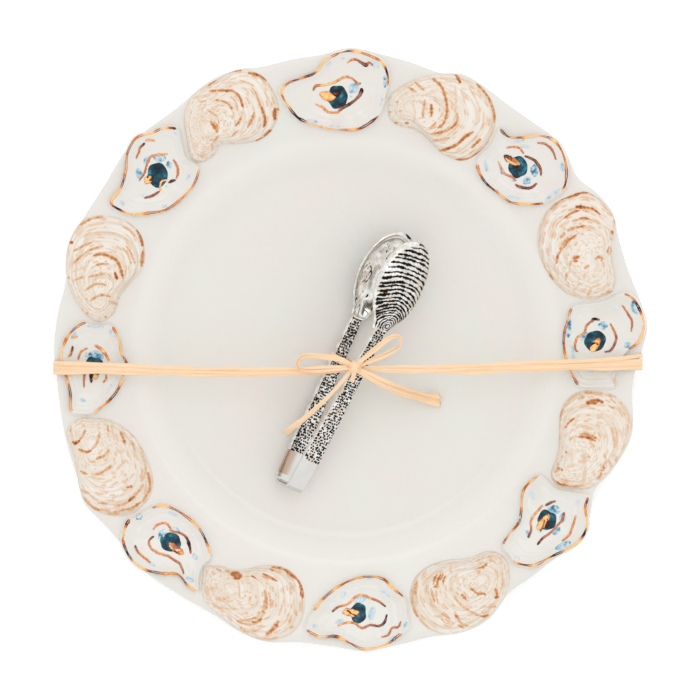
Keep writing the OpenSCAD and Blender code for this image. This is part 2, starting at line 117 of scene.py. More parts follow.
sky = bpy.data.worlds.new("sky")
sky.use_nodes = True
sky_tree = sky.node_tree
sky_tree.nodes.clear()
sky_light = node(sky_tree, "ShaderNodeBackground", {"Color": white, "Strength": sky_strength})
node(sky_tree, "ShaderNodeOutputWorld", {"Surface": sky_light.outputs[0]})
scene.world = sky

bpy.ops.mesh.primitive_plane_add(size=table_size, location=(0, 0, -table_gap))
table = bpy.context.active_object
table.name = "table"
paper = bpy.data.materials.new("white_paper")
paper.use_nodes = True
paper_tree = paper.node_tree
paper_tree.nodes.clear()
paper_glow = reckon(paper_tree, "MULTIPLY", seen_straight(paper_tree), table_glow)
paper_light = node(paper_tree, "ShaderNodeEmission", {"Color": white, "Strength": paper_glow})
paper_face = node(paper_tree, "ShaderNodeBsdfDiffuse", {"Color": table_white})
paper_both = node(paper_tree, "ShaderNodeAddShader", {0: paper_light.outputs[0],
                                                      1: paper_face.outputs[0]})
node(paper_tree, "ShaderNodeOutputMaterial", {"Surface": paper_both.outputs[0]})
table.data.materials.append(paper)
scene.view_settings.view_transform = "Standard"

# Platter: one round of glazed white earthenware with a foot ring, a deep round well and a
# sloping rim, whose wavy edge follows the shells. It is pressed in a mould and dipped in glaze.
plate_r = plate_d / 2
well_t, well_depth, rim_rise, edge_t = 5, 8, 6, 4
foot_h, foot_w, foot_inset, rim_t = 3, 6, 3, 5
rim_share, floor_share = 0.716, 0.64
rim_r = plate_r * rim_share
floor_r = plate_r * floor_share
foot_r = floor_r - foot_inset
floor_z = foot_h + well_t
rim_z = floor_z + well_depth
slope = rim_rise / (plate_r - rim_r)
seat_gap = 0.05
raffia_seat_h, raffia_seat_half, raffia_seat_room = 0.5, 3.1, 0.9
band_left_px, band_right_px = [54.3, 367], [641.5, 362]
band_left, band_right = plan(band_left_px), plan(band_right_px)
raffia_seat_y = (band_left[1] + band_right[1]) / 2
wall_in, wall_out = 6, 2.5
foot_round = 0.8
foot_outer_fillet, foot_inner_fillet = (0.4, -0.6), [(0.4, -0.3), (1.2, 0)]
plate_turns = 384
floor_rings, wall_rings, rim_rings, under_rings, foot_rings = 30, 20, 14, 6, 8
floor_first_r, floor_last_gap, under_last_r = 4, 2, 40
rim_first_share, under_last_share = 0.09, 0.15
edge_angles = np.radians(np.arange(75, -76, -15))
plate_ripple, floor_wave, rim_wave = 0.05, 45, 30
floor_ripple_from, rim_ripple_growth = 30, 3
# How far the painted light reaches over the well's wall, which lifts its shade.
wall_light_full, wall_light_wide = 1.1, 12
plate_edge_px = [
    [200, 88], [219, 76], [240, 69], [262, 67], [290, 60], [320, 55], [350, 48], [380, 54], [412, 63],
    [440, 73], [462, 74], [482, 85], [503, 101], [528, 119], [552, 136], [567, 155], [578, 178],
    [598, 194], [613, 214], [619, 240], [628, 270], [641, 303], [647, 326], [643, 347], [635, 372],
    [632, 395], [633, 422], [627, 446], [611, 472], [595, 490], [590, 516], [580, 543], [555, 559],
    [530, 578], [509, 593], [489, 619], [464, 632], [430, 637], [398, 645], [364, 651], [330, 646],
    [296, 642], [268, 642], [240, 632], [214, 615], [176, 593], [141, 569], [123, 546], [104, 524],
    [84, 503], [77, 477], [67, 444], [61, 412], [57, 380], [54, 348], [58, 314], [66, 281], [69, 244],
    [85, 216], [106, 183], [128, 147], [148, 129], [176, 109]
]


def between(a, b, c, d, t):
    """Points on a smooth curve from b to c, whose neighbours are a and d."""
    return 0.5 * (2 * b + (c - a) * t + (2 * a - 5 * b + 4 * c - d) * t * t
                  + (3 * b - a - 3 * c + d) * t ** 3)


def smooth_loop(points, count):
    """A smooth closed line through a few points, as count points."""
    pts = np.asarray(points, float)
    m = len(pts)
    s = np.arange(count) * m / count
    k = np.floor(s).astype(int)
    return between(pts[(k - 1) % m], pts[k % m], pts[(k + 1) % m], pts[(k + 2) % m], (s - k)[:, None])


def smooth_line(points, count):
    """A smooth open line through a few points, as count points."""
    pts = np.asarray(points, float)
    m = len(pts)
    s = np.linspace(0, m - 1, count)
    k = np.minimum(s.astype(int), m - 2)
    return between(pts[np.maximum(k - 1, 0)], pts[k], pts[k + 1], pts[np.minimum(k + 2, m - 1)],
                   (s - k)[:, None])


def s_curve(t):
    """0 below 0, 1 above 1 and a smooth rise between."""
    t = np.clip(t, 0, 1)
    return t * t * (3 - 2 * t)


def waves(x, seed, count=5, low=1.0, high=6.0):
    """An irregular wave from -1 to 1 along x. It repeats every 2 pi if low and high are whole."""
    rng = np.random.default_rng(seed)
    total = np.zeros_like(np.asarray(x, float))
    for _ in range(count):
        total += np.sin(x * rng.integers(low, high + 1) + rng.uniform(0, 2 * np.pi)) * rng.uniform(0.5, 1)
    return total / (0.75 * count) ** 0.5 / 1.6


def ripple(x, y, seed, length, count=7):
    """A gentle irregular wave over a surface, with crests about one length apart."""
    rng = np.random.default_rng(seed)
    total = np.zeros_like(np.asarray(x, float))
    for _ in range(count):
        turn = rng.uniform(0, 2 * np.pi)
        k = 2 * np.pi / (length * rng.uniform(0.6, 1.6))
        total += np.sin((x * np.cos(turn) + y * np.sin(turn)) * k + rng.uniform(0, 2 * np.pi))
    return total / count ** 0.5


def tube_faces(rings, sides, start=0):
    """Faces between rings of points that close on themselves."""
    i = np.arange(rings - 1)[:, None] * sides + start
    j = np.arange(sides)[None, :]
    k = (j + 1) % sides
    return np.stack([i + j, i + k, i + sides + k, i + sides + j], -1).reshape(-1, 4).tolist()


def fan_faces(ring, sides, tip):
    """Faces from one ring to a single point."""
    return [[ring + j, ring + (j + 1) % sides, tip] for j in range(sides)]


def add_piece(name, points, faces, materials, body, numbers, shades=None):
    """A closed mesh, given in millimetres, that rides on a body. The numbers are its points' own,
    and the shades say which material each face has."""
    mesh = bpy.data.meshes.new(name)
    mesh.from_pydata((np.asarray(points, float) * MM).tolist(), [], faces)
    for material in materials:
        mesh.materials.append(material)
    shaped = bmesh.new()
    shaped.from_mesh(mesh)
    bmesh.ops.recalc_face_normals(shaped, faces=shaped.faces)
    shaped.to_mesh(mesh)
    shaped.free()
    for key, values in numbers.items():
        layer = mesh.attributes.new(key, "FLOAT", "POINT")
        layer.data.foreach_set("value", np.asarray(values, np.float32))
    if shades is not None:
        mesh.polygons.foreach_set("material_index", np.asarray(shades, np.int32))
    mesh.polygons.foreach_set("use_smooth", [True] * len(mesh.polygons))
    mesh.update()
    piece = bpy.data.objects.new(name, mesh)
    scene.collection.objects.link(piece)
    if body:
        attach(piece, body)
    return piece


def new_finish(name, **sockets):
    """A material with one surface shader, whose even values are set on its own sockets."""
    material = bpy.data.materials.new(name)
    material.use_nodes = True
    tree = material.node_tree
    shader = tree.nodes["Principled BSDF"]
    for key, value in sockets.items():
        shader.inputs[key.replace("_", " ")].default_value = value
    return material, tree, shader


def mixed(tree, share, first, second):
    """Two colours, each given or another node's output, mixed by another output."""
    mix = node(tree, "ShaderNodeMix", {0: share}, data_type="RGBA")
    for socket, value in ((mix.inputs[6], first), (mix.inputs[7], second)):
        if isinstance(value, bpy.types.NodeSocket):
            tree.links.new(value, socket)
        else:
            socket.default_value = (*value, 1)
    return mix.outputs[2]


def attribute(tree, name):
    """A number that the mesh holds for each of its points."""
    return node(tree, "ShaderNodeAttribute", attribute_name=name).outputs["Fac"]


def remap(tree, value, low=0.0, high=1.0, to_low=0.0, to_high=1.0):
    """A value whose run from low to high is spread over another run."""
    return node(tree, "ShaderNodeMapRange",
                {0: value, 1: low, 2: high, 3: to_low, 4: to_high}).outputs[0]


def noise(tree, scale, detail=3.0, low=0.35, high=0.65, vector=None):
    """Soft noise over the piece, spread out to run from 0 to 1. Scale is per metre."""
    if vector is None:
        vector = node(tree, "ShaderNodeTexCoord").outputs["Object"]
    grain = node(tree, "ShaderNodeTexNoise", {"Vector": vector, "Scale": scale, "Detail": detail})
    return remap(tree, grain.outputs["Fac"], low, high)


def bump(tree, shader, height, strength, distance):
    """Small unevenness of the surface, from a height."""
    made = node(tree, "ShaderNodeBump", {"Height": height, "Strength": strength, "Distance": distance})
    tree.links.new(made.outputs[0], shader.inputs["Normal"])


glaze_milk = (0.790, 0.770, 0.718)
glaze_rose = (0.812, 0.755, 0.712)
glaze_mint = (0.775, 0.782, 0.730)
glaze_painted_light = (0.845, 0.825, 0.775)
cloud_scale, milk_scale, dimple_scale = 22, 55, 130
dimple_strength, dimple_depth = 0.12, 0.0006


def milk_glaze(name):
    """Warm white tin glaze, glossy and a little uneven, with faint rosy and greenish clouds. It is
    paler where painted light lifts the shade of the well's wall and of the shells' feet.
    """
    material, tree, shader = new_finish(name, Roughness=0.16, Coat_Weight=0.25, Coat_Roughness=0.06)
    clouds = mixed(tree, noise(tree, cloud_scale, 2), glaze_rose, glaze_mint)
    colour = mixed(tree, noise(tree, milk_scale, 3), clouds, glaze_milk)
    # Painted light: the glaze turns paler where the mesh marks it, against the shade that falls there.
    colour = mixed(tree, attribute(tree, "painted_light"), colour, glaze_painted_light)
    tree.links.new(colour, shader.inputs["Base Color"])
    bump(tree, shader, noise(tree, dimple_scale, 2), dimple_strength, dimple_depth)
    return material, tree, shader, colour


plate_glaze = milk_glaze("milk_glaze")[0]


def rim_at(xy):
    """The height of the sloping rim over the table."""
    return rim_z + (np.hypot(xy[..., 0], xy[..., 1]) - rim_r) * slope


def ease(a, b, count):
    """A smooth step from one radius and height to another."""
    t = np.linspace(0, 1, count)
    return [(a[0] + (b[0] - a[0]) * k, a[1] + (b[1] - a[1]) * s_curve(k)) for k in t]


def platter():
    edge = plan(smooth_loop(plate_edge_px, plate_turns))
    turn = np.arctan2(edge[:, 1], edge[:, 0])
    rim_end = np.hypot(edge[:, 0], edge[:, 1]) - edge_t / 2
    across = np.stack([np.cos(turn), np.sin(turn)], -1)
    rings = []

    def ring(radius, height):
        radius = np.broadcast_to(radius, turn.shape)
        rings.append(np.column_stack([across * radius[:, None], np.broadcast_to(height, turn.shape)]))

    def uneven(radius, seed, wave):
        xy = across * np.broadcast_to(radius, turn.shape)[:, None]
        return plate_ripple * ripple(xy[:, 0], xy[:, 1], seed, wave)

    for radius in np.linspace(floor_first_r, floor_r - wall_in - floor_last_gap, floor_rings):
        ring(radius, floor_z + uneven(radius, 3, floor_wave) * s_curve(radius / floor_ripple_from))
    wall_top = (rim_r + wall_out, rim_z + wall_out * slope)
    for radius, height in ease((floor_r - wall_in, floor_z), wall_top, wall_rings):
        ring(radius, height)
    for share in np.linspace(rim_first_share, 1, rim_rings):
        radius = rim_r + (rim_end - rim_r) * share
        ring(radius, rim_z + (radius - rim_r) * slope
             + uneven(radius, 8, rim_wave) * min(1, share * rim_ripple_growth))
    for angle in edge_angles:
        ring(rim_end + edge_t / 2 * np.cos(angle),
             rim_z + (rim_end - rim_r) * slope - edge_t / 2 * (1 - np.sin(angle)))
    for share in np.linspace(1, under_last_share, under_rings):
        radius = rim_r + (rim_end - rim_r) * share
        ring(radius, rim_z + (radius - rim_r) * slope - edge_t - (rim_t - edge_t) * (1 - share))
    foot_top = (foot_r + foot_outer_fillet[0], foot_h + foot_outer_fillet[1])
    for radius, height in ease((rim_r, rim_z - rim_t), foot_top, foot_rings):
        ring(radius, height)
    seat = np.abs(across[:, 1] * foot_r - raffia_seat_y) < raffia_seat_half + raffia_seat_room
    foot_bottom = np.where(seat, raffia_seat_h, 0)
    for out, up in ((0, foot_round), (-foot_round, 0), (foot_round - foot_w, 0), (-foot_w, foot_round)):
        ring(foot_r + out, foot_bottom + up)
    for inwards, up in foot_inner_fillet:
        ring(foot_r - foot_w - inwards, foot_h + up)
    ring(under_last_r, foot_h)
    rings.reverse()
    rings.append(np.array([[0, 0, foot_h], [0, 0, floor_z]]))
    points = np.concatenate(rings)
    count = len(rings) - 1
    last = count * plate_turns
    faces = tube_faces(count, plate_turns)
    faces += fan_faces(0, plate_turns, last)
    faces += fan_faces(last - plate_turns, plate_turns, last + 1)
    # Painted light on the well's wall, which lifts its shade.
    away = np.abs(np.hypot(points[:, 0], points[:, 1]) - (floor_r + rim_r) / 2)
    painted_light = s_curve(wall_light_full - away / wall_light_wide) * (points[:, 2] > floor_z)
    piece = add_piece("platter", points, faces, [plate_glaze], "plate", {"painted_light": painted_light})
    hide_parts("plate_body")


platter()

# Open shells: eight oysters with the upper half gone, pressed with the rim in the same mould.
# Each has a thin frilled lip, a shallow dish and the scar of the muscle near its middle.
lip_h = 4.2
lip_shares = [0, 0.12, 0.22, 0.44, 0.6, 0.68, 0.76, 0.86, 0.92, 0.955, 0.972, 0.985, 1.0, 1.02, 1.04]
lip_heights = [0.16, 0.19, 0.29, 0.32, 0.36, 0.46, 0.44, 0.62, 0.84, 0.99, 1.0, 0.8, 0.38, 0.1, -0.05]
open_rings = np.concatenate([np.linspace(0.03, 0.8, 30), np.linspace(0.82, 0.93, 9),
                             np.linspace(0.94, 1.0, 11), [1.01, 1.02, 1.03, 1.04]])
relief_turns = 220
under_shares = (1, 0.7, 0.4)
profile_steps = 1200
dish_softness = 0.02
lip_level, lip_sway = 0.9, 0.1
frill_h, step_h, layer_h = 0.3, 0.22, 0.2
frill_share, step_share, layer_share = 0.45, 0.7, 0.84
frill_grows, step_wide, layer_wide, foot_fade = 0.4, 0.05, 0.03, 0.03
step_wander, layer_wander = 0.04, 0.03
open_px = [
    [[280, 92], [287, 83], [300, 78], [315, 72], [326, 59], [340, 52], [354, 50], [371, 55], [383, 62],
     [389, 76], [387, 93], [382, 112], [371, 123], [357, 130], [335, 130], [312, 125], [297, 118],
     [287, 106]],
    [[499, 129], [508, 136], [523, 137], [538, 135], [552, 138], [562, 149], [567, 165], [567, 181],
     [562, 192], [547, 203], [529, 205], [511, 203], [497, 193], [484, 182], [477, 168], [478, 157],
     [489, 147], [494, 138]],
    [[573, 306], [590, 303], [606, 300], [621, 293], [633, 297], [641, 310], [645, 325], [640, 341],
     [628, 351], [619, 364], [614, 378], [614, 387], [596, 388], [580, 387], [571, 374], [565, 358],
     [563, 338], [567, 320]],
    [[541, 475], [556, 488], [573, 492], [588, 495], [586, 508], [588, 525], [581, 540], [567, 550],
     [550, 558], [534, 566], [516, 564], [509, 556], [502, 547], [508, 535], [518, 523], [521, 507],
     [522, 492], [530, 481]],
    [[306, 630], [308, 619], [312, 612], [321, 600], [335, 588], [352, 579], [367, 576], [383, 578],
     [395, 589], [405, 598], [408, 613], [409, 628], [398, 637], [387, 645], [365, 650], [350, 644],
     [336, 637], [319, 637]],
    [[129, 519], [137, 516], [150, 508], [164, 505], [179, 511], [195, 523], [205, 537], [211, 557],
     [203, 566], [199, 578], [198, 591], [188, 586], [178, 575], [162, 574], [144, 570], [130, 559],
     [122, 541], [124, 528]],
    [[85, 322], [98, 326], [111, 325], [119, 338], [122, 353], [127, 363], [123, 379], [116, 394],
     [104, 406], [94, 413], [83, 415], [71, 412], [70, 395], [66, 377], [61, 366], [61, 352], [66, 338],
     [74, 328]],
    [[110, 203], [120, 188], [125, 171], [127, 152], [136, 137], [152, 132], [164, 127], [178, 129],
     [182, 143], [187, 158], [199, 167], [195, 184], [182, 199], [167, 210], [149, 214], [130, 215],
     [118, 210]]
]
open_eyes_px = [[340, 95], [518, 167], [596, 341], [547, 520],
                [361, 612], [170, 542], [94, 366], [157, 174]]


class Relief:
    """A relief on the rim: an outline round a middle, and a height at each share of the way out."""

    def __init__(self, outline_px, middle_px, height, turns=relief_turns):
        self.middle = plan(middle_px)
        self.outline = plan(smooth_loop(outline_px, turns))
        self.height = height
        spokes = self.outline - self.middle
        turn = np.unwrap(np.arctan2(spokes[:, 1], spokes[:, 0]))
        if turn[-1] < turn[0]:
            self.outline, spokes, turn = self.outline[::-1], spokes[::-1], turn[::-1]
            turn = np.unwrap(turn)
        self.turn = np.maximum.accumulate(turn)
        self.reach = np.hypot(spokes[:, 0], spokes[:, 1])

    def find(self, xy):
        """The share of the way out to the outline, and the angle about the middle."""
        spoke = xy - self.middle
        turn = (np.arctan2(spoke[..., 1], spoke[..., 0]) - self.turn[0]) % (2 * np.pi) + self.turn[0]
        reach = np.interp(turn, np.append(self.turn, self.turn[0] + 2 * np.pi),
                          np.append(self.reach, self.reach[0]))
        return np.hypot(spoke[..., 0], spoke[..., 1]) / reach, turn

    def top(self, xy):
        """The height of the relief's surface over the table."""
        share, turn = self.find(xy)
        return rim_at(xy) + seat_gap + self.height(share, turn)

    def build(self, shares):
        """The points and faces of the closed relief, and the share and angle of each point."""
        xy, under = (np.concatenate([self.middle + (self.outline - self.middle) * s for s in steps]
                                    + [self.middle[None]]) for steps in (shares, under_shares))
        share, turn = self.find(xy)
        share[:-1] = np.repeat(shares, len(self.outline))
        share[-1] = 0
        top = np.column_stack([xy, rim_at(xy) + seat_gap + self.height(share, turn)])
        base = np.column_stack([under, rim_at(under) + seat_gap])
        n, rows, lows = len(self.outline), len(shares), len(under_shares)
        low = rows * n + 1
        faces = fan_faces(0, n, rows * n) + tube_faces(rows, n) + joining_faces((rows - 1) * n, low, n)
        faces += tube_faces(lows, n, low) + fan_faces(low + (lows - 1) * n, n, low + lows * n)
        return np.concatenate([top, base]), faces, share, turn, xy


def joining_faces(first, second, sides):
    """Faces between two rings of points, given by where each ring starts."""
    return [[first + j, first + (j + 1) % sides, second + (j + 1) % sides, second + j]
            for j in range(sides)]


def profile(shares, heights, softness):
    """A smooth section through a few shares and heights."""
    fine = np.linspace(shares[0], shares[-1], profile_steps)
    rough = np.interp(fine, shares, heights)
    width = int(softness / (fine[1] - fine[0]))
    kernel = np.hanning(width + 2)
    padded = np.concatenate([np.full(width, rough[0]), rough, np.full(width, rough[-1])])
    soft = np.convolve(padded, kernel / kernel.sum(), "same")[width:-width]
    return lambda s: np.interp(s, fine, soft)


dish_profile = profile(lip_shares, lip_heights, dish_softness)


def hump(away, width):
    """A smooth hump, 1 high at its middle, which falls off with the distance from it."""
    return np.exp(-(away / width) ** 2)


def dish_height(i):
    """Frills and folds that differ from shell to shell over the same dish."""
    def height(share, turn):
        lip = lip_level + lip_sway * waves(turn, 20 + i, 6, 2, 9)
        frill = frill_h * waves(turn, 40 + i, 7, 5, 17) * (share < 1.0)
        frill = frill * s_curve((share - frill_share) / frill_grows)
        step = step_h * waves(turn, 60 + i, 5, 1, 5)
        step = step * hump(share - step_share - step_wander * waves(turn, 80 + i), step_wide)
        layer = layer_h * hump(share - layer_share - layer_wander * waves(turn, 90 + i), layer_wide)
        fade = s_curve((1.0 - share) / foot_fade)
        return lip_h * lip * dish_profile(share) + (frill + step + layer) * fade
    return height


# Painted shade: the tan tint in the folds of the dish, and how strong it is.
fold_shade_tan = (0.66, 0.56, 0.44)
fold_shade_depth = 0.2
fold_from, fold_grows, fold_to, fold_fades = 0.4, 0.2, 0.97, 0.1
# Painted light at the foot of each open shell's lip.
foot_light_share, foot_light_wide = 0.965, 0.03


def painted_glaze():
    """The same glaze, more glossy, with painted tan shade in the folds of the dish."""
    material, tree, shader, milk = milk_glaze("painted_glaze")
    shader.inputs["Roughness"].default_value = 0.12
    tree.links.new(mixed(tree, attribute(tree, "stain_and_fold_shade"), milk, fold_shade_tan), shader.inputs["Base Color"])
    return material


open_shells = [Relief(*places) for places in zip(open_px, open_eyes_px, map(dish_height, range(8)))]
open_glaze = painted_glaze()


def open_shell(i):
    points, faces, share, turn, xy = open_shells[i].build(open_rings)
    base = np.zeros(len(points) - len(share))
    # Painted shade: a tan tint in the folds of the dish, between its middle and its lip.
    folds = s_curve(waves(turn, 110 + i, 6, 2, 7)) * s_curve((share - fold_from) / fold_grows)
    folds = folds * s_curve((fold_to - share) / fold_fades)
    # Painted light: the glaze turns paler at the foot of the lip, against the dark line of its shade.
    painted_light = s_curve((share - foot_light_share) / foot_light_wide)
    name = f"open_shell_{i + 1}"
    piece = add_piece(f"{name}_glazed", points, faces, [open_glaze], "plate",
                      {"stain_and_fold_shade": np.concatenate([fold_shade_depth * folds, base]),
                       "painted_light": np.concatenate([painted_light, base])})
    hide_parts(name)


for i in range(8):
    open_shell(i)

# Painting of the open shells, brushed over the glaze and fired last: thin washes of pale blue,
# lines of gold lustre and dark brown, and the deep blue scar of the muscle near the middle.

# A wash is a line from one picture point to another, with its width and its strength.
blue_washes = [
    [(350, 93, 358, 83, 5, .8), (350, 97, 352, 96, 2, .5), (385, 75, 385, 88, 1.6, 1),
     (372, 60, 379, 68, 3, .6), (305, 121, 318, 122, 2, .6), (330, 126, 340, 127, 1.6, .6),
     (324, 66, 332, 62, 2.5, .4), (341, 59, 345, 58, 1.5, .5), (380, 107, 383, 98, 1.2, .6)],
    [(534, 164, 535, 177, 4, 1), (523, 183.5, 531, 178, 4, .9), (500, 166, 503, 175, 2, .8),
     (510, 178, 516, 181, 2, .7), (513, 141, 525, 140, 2, .5), (562, 162, 563, 172, 2.5, .6),
     (545, 202, 560, 189, 2.5, .6), (520, 146, 530, 147, 2, .5), (485, 160, 487, 172, 2, .5),
     (505, 196, 520, 199, 2, .4)],
    [(598, 325, 608, 326, 4.5, 1), (632, 301, 638, 315, 3.5, 1), (624, 347, 631, 343, 3, 1),
     (569, 316, 568, 338, 2.5, .9), (588, 372, 594, 371, 2, .6), (572, 345, 574, 362, 2, .5),
     (606, 366, 611, 360, 2, .5), (612, 312, 620, 305, 2, .4), (581, 341, 587, 332, 3.2, .85)],
    [(547, 508, 561, 511, 4, 1), (563, 513, 562, 523, 3, 1), (553, 535, 560, 527, 3, .9),
     (526, 530, 530, 536, 2, .7), (555, 549, 571, 542, 3, .9), (520, 515, 520, 525, 2, .5),
     (514, 556, 520, 560, 2, .5), (530, 490, 534, 500, 2, .5), (574, 505, 580, 500, 2, .4)],
    [(353, 601, 367, 597.5, 3.4, .8), (335, 623, 344, 620, 2, .6), (370, 620, 374, 606, 3, .7),
     (402, 628, 408, 622, 2, .6), (388, 642, 396, 636, 2, .6), (312, 626, 318, 626, 2, .6),
     (364, 578, 372, 578, 1.5, .5), (340, 598, 346, 592, 2, .5), (380, 590, 390, 597, 2, .4)],
    [(160, 541, 165, 529, 4, .95), (169, 530, 180, 531, 3.4, .8), (193, 553, 197, 560, 2.5, .7),
     (136, 519, 142.5, 514.5, 3.2, 1), (123, 534, 124, 537, 1.5, .9), (186, 577, 194, 582, 2, .7),
     (148, 562, 156, 566, 2, .5), (168, 512, 178, 516, 2, .4)],
    [(88, 354, 104, 357, 4.5, 1), (86, 352, 87, 358, 2, .6), (87, 326, 104, 327, 1.5, .6),
     (71, 339, 77, 331, 2, .6), (109, 329, 115, 337, 2, .6), (80, 398, 86, 402, 2, .5),
     (108, 390, 112, 384, 2, .5)],
    [(153, 156.5, 166, 159, 4.5, 1), (168, 161, 170, 169, 3.5, 1), (144, 164, 150, 157, 3, 1),
     (138, 168, 140, 179, 3, .9), (140, 195, 145, 195, 2, .5), (165, 187, 168, 186, 2, .6),
     (162, 208, 167, 205, 2, .6), (174, 133, 180, 134, 2, .5), (120, 200, 124, 206, 2, .5),
     (186, 180, 190, 174, 2, .4)]
]
# Where the gold line along each lip is left out, counted in points of the outline.
lip_gaps = [
    [(9.6, 11.2)], [(8.1, 9.0), (14.5, 18)], [(0, 3.2), (8, 10), (11, 13)],
    [(0, 3), (10.5, 12)], [(9, 11.5), (0.2, 2)], [(0.2, 2), (7, 10)], [(0.3, 2), (9.2, 10.8)],
    [(7, 10)]
]
